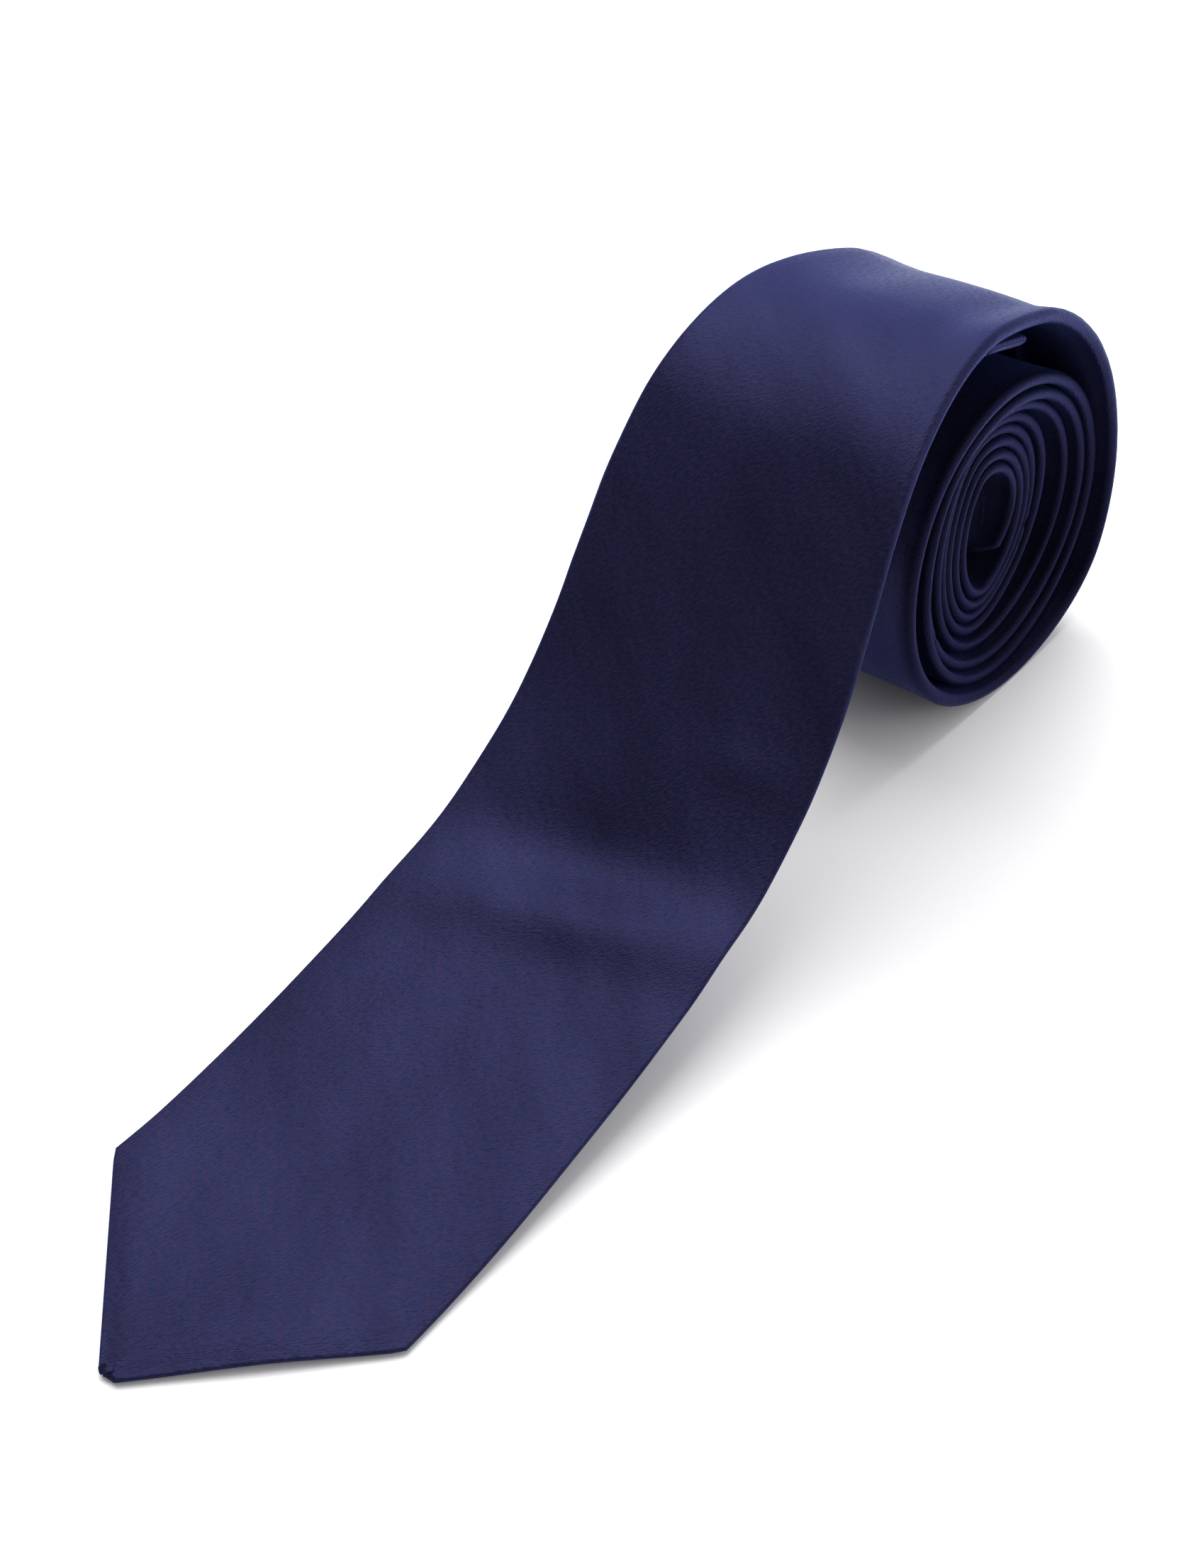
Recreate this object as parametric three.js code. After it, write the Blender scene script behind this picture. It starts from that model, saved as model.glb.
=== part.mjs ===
// Slim necktie, rolled up from its narrow end, with the wide blade let down onto the table.
// Millimetres, +Z up. X runs across the tie (the roll's axis), -Y is the blade's point,
// the table is z = 0, and the object's box is centred on the origin in X and Y.
import * as THREE from 'three';

// ---- cross-section -------------------------------------------------------------------------
const THICKNESS = 2.0;            // pressed tie, front face to back face
const SHELL_WALL = 0.35;          // satin cloth
const LINING_THICKNESS = 0.7;     // wool interlining
const TIPPING_THICKNESS = 0.35;
const TOUCH_GAP = 0.3;            // air between neighbouring pieces
const SEAM_OPENING = 0.6;         // half the slit between the two back flaps
const THREAD_HALF = 0.22;

// ---- plan of the tie -----------------------------------------------------------------------
const BLADE_HALF_WIDTH = 28.4;    // at the corners of the blade's 90 degree point
const TAIL_HALF_WIDTH = 11.7;
const BLADE_HEM = 8.0;            // cloth folded under round the point
const TAIL_HEM = 4.2;
const BLADE_TACK_AT = 93;         // distance from the blade's point to its bar tack
const TAIL_TACK_AT = 40;          // distance from the tail's point to its bar tack
const POINT_BLUNTNESS = 1.6;      // half-width at the very tip
// Half-width along the blade, [distance from the point, half-width].
const BLADE_TAPER = [[BLADE_HALF_WIDTH, BLADE_HALF_WIDTH], [142, 26.9], [185, 23.8], [215, 21.4]];
// Half-width in the roll, [turns from the top of the roll, half-width].
const ROLL_TAPER = [[0.08, 19.8], [1, 16.2], [2, 15.6], [3.3, 13.0], [5, 11.3], [8.6, TAIL_HALF_WIDTH]];

// ---- side view -----------------------------------------------------------------------------
const HALF = THICKNESS / 2;
// Middle of the cloth from the point to the top of the roll, [along, height]. The heights stretch with
// the roll, so that the blade always meets its shoulder.
const BLADE_PROFILE = [
  [0, HALF], [12, HALF], [24, HALF], [30, 1.02], [36, 1.3], [50, 3.2], [70, 7.7], [84, 11.6], [97.5, 16.3],
  [110, 22.8], [121.2, 31.4], [130, 42.5], [137, 54.8], [143.8, 67], [152.8, 78], [165, 85], [179, 87],
];
const SHOULDER = 81.74;           // height of the cloth where this blade joins the roll
const ROLL_CENTRE = [213, 39.6];
const ROLL_START = 0.06;          // turns; the roll's own curve takes over from the blade here
const ROLL_END = 8.6;             // turns wound round to the tail's point
const TURN_GAP = 0.55;            // air between turns, on average
const CORE_REACH = 11.5;          // mean size of the hollow the tail is wound round
const RELAX = 0.367;              // turns over which the slack outer turn tightens
const LOOSE_TURN = 3.507;         // where one turn has slipped loose
const LOOSE_SPREAD = 0.275;
// Each law is [value, change per turn, share of the slack outer turn, share of the loose turn].
const TURN_PITCH = THICKNESS + TURN_GAP;
const REACH = [CORE_REACH + ROLL_END * TURN_PITCH, -TURN_PITCH, 15.96, -1.68];   // mean, centre to cloth
const TALLNESS = [-0.62, 0.014, 6.75, -1.29];      // level oval against upright oval
const LEAN = [-2.57, 0.092, -6.55, 0.77];          // oval leaning towards the blade
const SHIFT_ALONG = [-2.71, 0.07, -14.3, -0.40];
const SHIFT_UP = [-4.64, -0.085, 6.05, 0.43];
const EGG = [1.11, -0.10, -4.95, 0.13];            // three-sided swelling
const EGG_ANGLE = THREE.MathUtils.degToRad(10.5);

// ---- where pieces begin and end ------------------------------------------------------------
const LIFT_LINE = 196;            // distance from the point to the line the blade is lifted on
const CUT = 0.15;                 // half the gap at a cut across the tie
const FRONT_PIECING = 2.66;       // turns; blade cloth to neck cloth
const TAIL_PIECING = 5.3;         // turns; neck cloth to tail cloth
const LINING_JOIN = 4.1;          // turns; blade interlining to tail interlining
const SEAM_STITCH = 0.4;          // length of a piecing seam's row of stitches
const KEEPER_AT = 227;            // distance from the point to the middle of the keeper loop
const KEEPER_LENGTH = 15;         // its size along the tie
const KEEPER_THICKNESS = 2.2;
const KEEPER_INSET = 3.0;         // from the tie's edge to the band's end
const KEEPER_GAP = 2.0;           // room under the band for the tail
const KEEPER_TACK_LENGTH = 11;
const LABEL_AT = 160;             // distance from the point to the middle of the care label
const LABEL_LENGTH = 14;
const LABEL_HALF_WIDTH = 9;
const LABEL_THICKNESS = 0.35;
const STEPS_PER_TURN = 20;
const BLADE_STEP = 7;

// ---- materials -----------------------------------------------------------------------------
const finish = (color, roughness, metalness = 0) => () =>
  new THREE.MeshStandardMaterial({ color, roughness, metalness });
const satin = finish(0x1d2148, 0.42);
const wool = finish(0xd9d4c6, 0.95);
const tippingCloth = finish(0x1a1c38, 0.5);
const thread = finish(0x23264a, 0.7);
const labelTape = finish(0xe4e2dc, 0.6);

// ---- the line the cloth follows ------------------------------------------------------------
const law = (c, turn) =>
  c[0] + c[1] * turn + c[2] * Math.exp(-turn / RELAX) + c[3] * Math.tanh((turn - LOOSE_TURN) / LOOSE_SPREAD);

// Distance from the roll's centre to the cloth's tangent, for the tangent whose normal is at `angle`.
function reach(turn) {
  const angle = Math.PI / 2 - 2 * Math.PI * turn;
  return law(REACH, turn)
    + law(TALLNESS, turn) * Math.cos(2 * angle)
    + law(LEAN, turn) * Math.sin(2 * angle)
    + law(SHIFT_ALONG, turn) * Math.cos(angle)
    + law(SHIFT_UP, turn) * Math.sin(angle)
    + law(EGG, turn) * Math.cos(3 * (angle - EGG_ANGLE));
}

function rollPoint(turn) {
  const angle = Math.PI / 2 - 2 * Math.PI * turn;
  const step = 1e-4;
  const slope = (reach(turn + step) - reach(turn - step)) / (2 * step) / (-2 * Math.PI);
  const r = reach(turn);
  return [
    ROLL_CENTRE[0] + r * Math.cos(angle) - slope * Math.sin(angle),
    ROLL_CENTRE[1] + r * Math.sin(angle) + slope * Math.cos(angle),
  ];
}

const TURN_SAMPLES = 400;
const rollSamples = [];
for (let i = 0; i <= Math.round((ROLL_END - ROLL_START) * TURN_SAMPLES); i += 1) {
  const turn = ROLL_START + i / TURN_SAMPLES;
  rollSamples.push({ turn, at: rollPoint(turn) });
}
// The roll rests on the table.
const sink = Math.min(...rollSamples.map((p) => p.at[1])) - HALF;
rollSamples.forEach((p) => { p.at[1] -= sink; });

const stretch = (rollSamples[0].at[1] - HALF) / (SHOULDER - HALF);
const approach = BLADE_PROFILE.map(([y, z]) => [y, HALF + (z - HALF) * stretch]);
const lead = [0, 12, 24].map((i) => rollSamples[i].at);
const bladeCurve = new THREE.CatmullRomCurve3(
  [...approach, ...lead].map(([y, z]) => new THREE.Vector3(0, y, z)), false, 'centripetal');
const line = [];
const BLADE_SAMPLES = 900;
const lastBladeKnot = (BLADE_PROFILE.length) / (BLADE_PROFILE.length + lead.length - 1);
for (let i = 0; i < BLADE_SAMPLES; i += 1) {
  const p = bladeCurve.getPoint((i / BLADE_SAMPLES) * lastBladeKnot);
  line.push({ y: p.y, z: p.z, turn: 0 });
}
rollSamples.forEach((p) => line.push({ y: p.at[0], z: p.at[1], turn: p.turn }));
line[0].s = 0;
for (let i = 1; i < line.length; i += 1) {
  line[i].s = line[i - 1].s + Math.hypot(line[i].y - line[i - 1].y, line[i].z - line[i - 1].z);
}
const TIE_LENGTH = line[line.length - 1].s;

function indexAt(s) {
  let lo = 0;
  let hi = line.length - 1;
  while (hi - lo > 1) {
    const mid = (lo + hi) >> 1;
    if (line[mid].s <= s) lo = mid;
    else hi = mid;
  }
  return lo;
}

function pointAt(s) {
  const i = indexAt(s);
  const a = line[i];
  const b = line[i + 1];
  const f = (s - a.s) / (b.s - a.s);
  return [a.y + (b.y - a.y) * f, a.z + (b.z - a.z) * f];
}

// Place on the line and the direction out of the cloth's front face.
function frameAt(s) {
  const here = pointAt(s);
  const before = pointAt(Math.max(s - 0.8, 0));
  const after = pointAt(Math.min(s + 0.8, TIE_LENGTH));
  const length = Math.hypot(after[0] - before[0], after[1] - before[1]);
  return { y: here[0], z: here[1], ny: -(after[1] - before[1]) / length, nz: (after[0] - before[0]) / length };
}

function lengthAtTurn(turn) {
  const hit = line.find((p) => p.turn >= turn);
  return hit ? hit.s : TIE_LENGTH;
}

function interpolate(table, x) {
  if (x <= table[0][0]) return table[0][1];
  for (let i = 1; i < table.length; i += 1) {
    if (x <= table[i][0]) {
      const f = (x - table[i - 1][0]) / (table[i][0] - table[i - 1][0]);
      return table[i - 1][1] + (table[i][1] - table[i - 1][1]) * f;
    }
  }
  return table[table.length - 1][1];
}

const TAPER = [...BLADE_TAPER, ...ROLL_TAPER.map(([turn, half]) => [lengthAtTurn(turn), half])];

// Half-width of the tie, drawn in to a point at both ends.
function halfWidth(s) {
  const full = interpolate(TAPER, s);
  return Math.max(Math.min(full, s + POINT_BLUNTNESS, TIE_LENGTH - s + POINT_BLUNTNESS), POINT_BLUNTNESS);
}

// Half the opening between the back flaps: wide over the tipping, a slit along the seam.
function backOpening(s) {
  const half = halfWidth(s);
  const corner = BLADE_HALF_WIDTH;
  const tailCorner = TIE_LENGTH - TAIL_HALF_WIDTH;
  const tailTack = TIE_LENGTH - TAIL_TACK_AT;
  let open = SEAM_OPENING;
  if (s < corner) open = half - BLADE_HEM;
  else if (s < BLADE_TACK_AT) {
    open = (BLADE_HALF_WIDTH - BLADE_HEM) * (1 - (s - corner) / (BLADE_TACK_AT - corner));
  } else if (s > tailCorner) open = half - TAIL_HEM;
  else if (s > tailTack) open = (TAIL_HALF_WIDTH - TAIL_HEM) * (s - tailTack) / (tailCorner - tailTack);
  open = Math.max(open, SEAM_OPENING);
  return Math.min(open, Math.max((half - HALF) * 0.5, half - HALF - 3));
}

// ---- sections, [across, out of the front face] ---------------------------------------------
function roundEdge(centre, radius, from, to) {
  return [0.25, 0.5, 0.75].map((f) => {
    const angle = THREE.MathUtils.degToRad(from + (to - from) * f);
    return [centre + radius * Math.cos(angle), radius * Math.sin(angle)];
  });
}

function shellSection(s, wall = SHELL_WALL) {
  const edge = halfWidth(s) - HALF;
  const lip = backOpening(s);
  const inner = HALF - wall;
  return [
    [lip, -HALF], [edge, -HALF], ...roundEdge(edge, HALF, -90, 90), [edge, HALF],
    [-edge, HALF], ...roundEdge(-edge, HALF, 90, 270), [-edge, -HALF], [-lip, -HALF],
    [-lip, -inner], [-edge, -inner], ...roundEdge(-edge, inner, 270, 90), [-edge, inner],
    [edge, inner], ...roundEdge(edge, inner, 90, -90), [edge, -inner], [lip, -inner],
  ];
}

function slab(half, low, high) {
  return [[half, high], [-half, high], [-half, low], [half, low]];
}

const liningSection = (s) => slab(halfWidth(s) - HALF + 0.1, -LINING_THICKNESS / 2, LINING_THICKNESS / 2);
const tippingSection = (s) => slab(backOpening(s) - TOUCH_GAP, -HALF, -HALF + TIPPING_THICKNESS);
const threadSection = () => slab(THREAD_HALF, -HALF + 0.05, -HALF + 0.05 + THREAD_HALF);

// ---- where the pieces are cut --------------------------------------------------------------
const rollFrom = lengthAtTurn(ROLL_START);
const frontSeam = lengthAtTurn(FRONT_PIECING);
const tailSeam = lengthAtTurn(TAIL_PIECING);
const liningJoin = lengthAtTurn(LINING_JOIN);
const tailTackAt = TIE_LENGTH - TAIL_TACK_AT;
const seamHalf = SEAM_STITCH / 2;
const seamClear = seamHalf + TOUCH_GAP;
const around = (middle, half) => [middle - half, middle + half];

// Every piece uses the same rows of points, so neighbouring pieces keep their gap round the bends.
const cuts = [
  0, 3, 11, BLADE_HALF_WIDTH, BLADE_TACK_AT - 6, BLADE_TACK_AT, BLADE_TACK_AT + 1,
  ...around(BLADE_TACK_AT - 2.5, 0.5), ...around(LIFT_LINE, CUT),
  ...around(KEEPER_AT, KEEPER_LENGTH / 2), ...around(KEEPER_AT, KEEPER_TACK_LENGTH / 2),
  ...around(LABEL_AT, LABEL_LENGTH / 2), ...around(LABEL_AT, LABEL_LENGTH / 2 - 1), LABEL_AT,
  ...around(frontSeam, seamHalf), ...around(frontSeam, seamClear),
  ...around(tailSeam, seamHalf), ...around(tailSeam, seamClear), ...around(liningJoin, CUT),
  tailTackAt - 1, tailTackAt, ...around(tailTackAt + 2.2, 0.5), tailTackAt + 7,
  TIE_LENGTH - TAIL_HALF_WIDTH, TIE_LENGTH - 7, TIE_LENGTH - 3, TIE_LENGTH,
];
const regular = [];
for (let s = BLADE_STEP; s < rollFrom - BLADE_STEP / 2; s += BLADE_STEP) regular.push(s);
for (let i = Math.ceil(ROLL_START * STEPS_PER_TURN); i / STEPS_PER_TURN < ROLL_END; i += 1) {
  regular.push(lengthAtTurn(i / STEPS_PER_TURN));
}
const rowsOfPoints = [
  ...cuts,
  ...regular.filter((s) => cuts.every((c) => Math.abs(c - s) > 1.2)),
].sort((a, b) => a - b);

// ---- sweeping a section along the tie ------------------------------------------------------
const stations = (from, to) => rowsOfPoints.filter((s) => s > from - 1e-6 && s < to + 1e-6);

function signedArea(section) {
  return section.reduce((sum, p, i) => {
    const q = section[(i + 1) % section.length];
    return sum + (p[0] * q[1] - q[0] * p[1]) / 2;
  }, 0);
}

function sweep(from, to, section) {
  const rows = stations(from, to);
  const count = section(rows[0]).length;
  const positions = [];
  rows.forEach((s) => {
    const f = frameAt(s);
    section(s).forEach(([across, out]) => positions.push(across, f.y + out * f.ny, f.z + out * f.nz));
  });
  const index = [];
  for (let i = 0; i + 1 < rows.length; i += 1) {
    for (let j = 0; j < count; j += 1) {
      const k = (j + 1) % count;
      const a = i * count + j;
      const b = i * count + k;
      index.push(b, a, a + count, b, a + count, b + count);
    }
  }
  const cap = (row, reversed) => {
    const flat = section(rows[row]).map(([x, y]) => new THREE.Vector2(x, y));
    THREE.ShapeUtils.triangulateShape(flat, []).forEach(([a, b, c]) => {
      const turn = (flat[b].x - flat[a].x) * (flat[c].y - flat[a].y)
        - (flat[c].x - flat[a].x) * (flat[b].y - flat[a].y);
      const [p, q] = (turn > 0) !== reversed ? [b, c] : [c, b];
      index.push(row * count + a, row * count + p, row * count + q);
    });
  };
  if (signedArea(section(rows[0])) < 0) throw new Error('section runs clockwise');
  cap(0, false);
  cap(rows.length - 1, true);
  const geometry = new THREE.BufferGeometry();
  geometry.setAttribute('position', new THREE.Float32BufferAttribute(positions, 3));
  geometry.setIndex(index);
  return geometry;
}

// A bar tack: a short bar of thread laid across the slit, `depth` out of the cloth.
function bar(at, length, half, low, high) {
  return sweep(at - length / 2, at + length / 2, () => slab(half, low, high));
}

function knot(s, beyond, radius) {
  const f = frameAt(s);
  const ty = f.nz;
  const tz = -f.ny;
  const geometry = new THREE.IcosahedronGeometry(radius, 1);
  geometry.deleteAttribute('normal');
  geometry.deleteAttribute('uv');
  geometry.translate(0, f.y + ty * beyond, f.z + tz * beyond);
  return geometry;
}

// ---- pieces --------------------------------------------------------------------------------
const necktie = new THREE.Group();
necktie.name = 'necktie';

function piece(name, geometry, material) {
  const flat = geometry.index ? geometry.toNonIndexed() : geometry;
  flat.computeVertexNormals();
  const mesh = new THREE.Mesh(flat, material());
  mesh.name = name;
  necktie.add(mesh);
}

piece('blade_shell_free', sweep(0, LIFT_LINE - CUT, shellSection), satin);
piece('blade_shell_rolled', sweep(LIFT_LINE + CUT, frontSeam - seamClear, shellSection), satin);
piece('neck_shell', sweep(frontSeam + seamClear, tailSeam - seamClear, shellSection), satin);
piece('tail_shell', sweep(tailSeam + seamClear, TIE_LENGTH, shellSection), satin);
piece('front_piecing_stitches', sweep(frontSeam - seamHalf, frontSeam + seamHalf, shellSection), thread);
piece('tail_piecing_stitches', sweep(tailSeam - seamHalf, tailSeam + seamHalf, shellSection), thread);

piece('interlining_free', sweep(3, LIFT_LINE - CUT, liningSection), wool);
piece('interlining_rolled', sweep(LIFT_LINE + CUT, liningJoin - CUT, liningSection), wool);
piece('interlining_tail', sweep(liningJoin + CUT, TIE_LENGTH - 3, liningSection), wool);

piece('front_tipping', sweep(11, BLADE_TACK_AT - 6, tippingSection), tippingCloth);
piece('tail_tipping', sweep(tailTackAt + 7, TIE_LENGTH - 7, tippingSection), tippingCloth);

piece('slip_stitch_free', sweep(BLADE_TACK_AT + 1, LIFT_LINE - CUT, threadSection), thread);
piece('slip_stitch_rolled', sweep(LIFT_LINE + CUT, frontSeam - seamClear, threadSection), thread);
piece('slip_stitch_neck', sweep(frontSeam + seamClear, tailTackAt - 1, threadSection), thread);

// The blade's bar tack lies over the flaps; the tail's sits in the slit, where the turns are packed.
piece('front_bar_tack', bar(BLADE_TACK_AT - 2.5, 1.0, 3.5, -HALF - 0.7, -HALF - TOUCH_GAP), thread);
piece('tail_bar_tack', bar(tailTackAt + 2.2, 1.0, 0.28, -HALF + 0.03, -HALF + 0.3), thread);
piece('front_tip_tack', knot(0, -1.25, 0.9), thread);
piece('tail_tip_tack', knot(TIE_LENGTH, 1.15, 0.8), thread);

const keeperLow = -HALF - KEEPER_GAP - KEEPER_THICKNESS;
const keeperHalf = halfWidth(KEEPER_AT) - KEEPER_INSET;
piece('keeper_loop', bar(KEEPER_AT, KEEPER_LENGTH, keeperHalf, keeperLow, keeperLow + KEEPER_THICKNESS), satin);
[-1, 1].forEach((side) => {
  const tack = bar(KEEPER_AT, KEEPER_TACK_LENGTH, 0.5, keeperLow - TOUCH_GAP - 0.35, keeperLow - TOUCH_GAP);
  tack.translate(side * (keeperHalf - 1.6), 0, 0);
  piece(side < 0 ? 'keeper_tack_left' : 'keeper_tack_right', tack, thread);
});

const labelHigh = -HALF - TOUCH_GAP;
piece('care_label', bar(LABEL_AT, LABEL_LENGTH, LABEL_HALF_WIDTH, labelHigh - LABEL_THICKNESS, labelHigh), labelTape);
[-1, 1].forEach((side) => {
  const low = labelHigh - LABEL_THICKNESS - TOUCH_GAP - 0.3;
  const row = bar(LABEL_AT, LABEL_LENGTH - 2, 0.3, low, low + 0.3);
  row.translate(side * (LABEL_HALF_WIDTH - 1.2), 0, 0);
  piece(side < 0 ? 'label_stitches_left' : 'label_stitches_right', row, thread);
});

// Centre the object's box over the origin.
const box = new THREE.Box3().setFromObject(necktie);
const middle = box.getCenter(new THREE.Vector3());
necktie.children.forEach((mesh) => {
  mesh.geometry.translate(-middle.x, -middle.y, -box.min.z);
  mesh.geometry.computeBoundingBox();
});

export default necktie;
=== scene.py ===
"""Slim navy satin necktie, rolled up from its narrow end, its wide blade let down onto the table.

Every piece is laid out along one line: the middle of the cloth, seen from the side, from the blade's
point to the tail's point. A place on the tie is (distance along, across, out of the front face), in
millimetres, and TieLine turns it into a point of the model, in metres.
"""

import logging
import math
from bisect import bisect_right
from dataclasses import dataclass, field
from enum import Enum
from typing import Callable, Iterable, Sequence

import bmesh
import bpy
from mathutils import Matrix, Vector, noise


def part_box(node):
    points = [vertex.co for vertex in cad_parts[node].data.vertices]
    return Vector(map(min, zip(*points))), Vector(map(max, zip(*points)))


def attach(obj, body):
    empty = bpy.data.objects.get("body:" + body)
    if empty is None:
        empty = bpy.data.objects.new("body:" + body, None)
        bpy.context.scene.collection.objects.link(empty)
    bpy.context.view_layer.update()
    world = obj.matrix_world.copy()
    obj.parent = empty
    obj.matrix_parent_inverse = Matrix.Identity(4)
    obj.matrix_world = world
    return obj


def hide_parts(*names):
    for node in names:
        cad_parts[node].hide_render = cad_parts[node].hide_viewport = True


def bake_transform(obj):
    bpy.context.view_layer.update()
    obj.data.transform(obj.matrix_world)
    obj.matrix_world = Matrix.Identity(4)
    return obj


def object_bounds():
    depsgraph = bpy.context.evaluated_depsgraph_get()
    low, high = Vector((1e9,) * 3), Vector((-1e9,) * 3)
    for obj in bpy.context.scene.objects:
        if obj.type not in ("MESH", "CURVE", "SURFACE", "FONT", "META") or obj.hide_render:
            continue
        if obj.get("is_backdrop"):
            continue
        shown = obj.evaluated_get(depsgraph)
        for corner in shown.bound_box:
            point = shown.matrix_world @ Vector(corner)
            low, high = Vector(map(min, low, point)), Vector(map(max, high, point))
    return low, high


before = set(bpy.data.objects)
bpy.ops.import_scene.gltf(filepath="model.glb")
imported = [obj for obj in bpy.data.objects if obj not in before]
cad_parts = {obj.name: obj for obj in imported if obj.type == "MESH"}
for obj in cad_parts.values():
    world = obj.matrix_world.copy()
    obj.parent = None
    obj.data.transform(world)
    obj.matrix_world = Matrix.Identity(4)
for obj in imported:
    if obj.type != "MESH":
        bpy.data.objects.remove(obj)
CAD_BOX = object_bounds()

log = logging.getLogger("necktie")

MM = 0.001
# UV maps: the place on the flat cut cloth, and the painted shade that darkens the roll's folded edges.
CUT_MAP = "cut"
EDGE_SHADE_MAP = "rub"

# Across, out of the front face, and place on the flat cut cloth, in millimetres.
SectionPoint = tuple[float, float, float]
Colour = tuple[float, float, float]


class Body(Enum):
    """The two bodies that the tie's joint holds together."""

    ROLL = "roll"
    BLADE = "blade"


class Slot(Enum):
    """The record's material slots."""

    SATIN = "satin"
    WOOL = "interlining_wool"
    TIPPING = "tipping_cloth"
    THREAD = "thread"
    LABEL = "label_tape"


# ---- the line the cloth follows ---------------------------------------------------------------


@dataclass(frozen=True)
class Law:
    """How one quantity of the roll's curve changes as it winds inwards.

    The slack outer turn fades within `relax` turns, and one turn has slipped loose at `loose_turn`.
    """

    start: float
    per_turn: float
    slack: float
    loose: float
    relax: float = 0.367
    loose_turn: float = 3.507
    loose_spread: float = 0.275

    def at(self, turn: float) -> float:
        """Returns the quantity after `turn` turns."""
        slip = math.tanh((turn - self.loose_turn) / self.loose_spread)
        slack = self.slack * math.exp(-turn / self.relax)
        return self.start + self.per_turn * turn + slack + self.loose * slip


def interpolate(table: Sequence[tuple[float, float]], x: float) -> float:
    """Reads a table of (place, value) pairs, straight between its entries.

    Args:
        table: the pairs, by rising place.
        x: the place to read at.

    Returns:
        The value there, or the nearest end's value outside the table.
    """
    if x <= table[0][0]:
        return table[0][1]
    for (x0, y0), (x1, y1) in zip(table, table[1:]):
        if x <= x1:
            return y0 + (y1 - y0) * (x - x0) / (x1 - x0)
    return table[-1][1]


def centripetal(points: Sequence[Vector], count: int, share: float) -> list[Vector]:
    """Draws a centripetal Catmull-Rom curve through points.

    Args:
        points: the points it passes through.
        count: how many samples to take.
        share: the share of the whole curve to sample, from its start.

    Returns:
        The samples, without the last one.
    """
    knots = [points[0] * 2 - points[1], *points, points[-1] * 2 - points[-2]]
    samples = []
    for i in range(count):
        place = (len(points) - 1) * share * i / count
        k = int(place)
        w = place - k
        p0, p1, p2, p3 = knots[k : k + 4]
        d0, d1, d2 = (math.sqrt((b - a).length) for a, b in ((p0, p1), (p1, p2), (p2, p3)))
        t1 = ((p1 - p0) / d0 - (p2 - p0) / (d0 + d1) + (p2 - p1) / d1) * d1
        t2 = ((p2 - p1) / d1 - (p3 - p1) / (d1 + d2) + (p3 - p2) / d2) * d1
        c2 = (p2 - p1) * 3 - t1 * 2 - t2
        c3 = (p1 - p2) * 2 + t1 + t2
        samples.append(p1 + t1 * w + c2 * w * w + c3 * w * w * w)
    return samples


@dataclass
class Dent:
    """A soft hollow or swelling pressed into the blade."""

    along: float
    across: float
    length: float
    width: float
    height: float
    slant: float = 0.0

    def at(self, s: float, x: float) -> float:
        """Returns its height at distance `s` and `x` across."""
        a = (s - self.along - self.slant * (x - self.across)) / self.length
        b = (x - self.across) / self.width
        return self.height * math.exp(-a * a - b * b)


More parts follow.
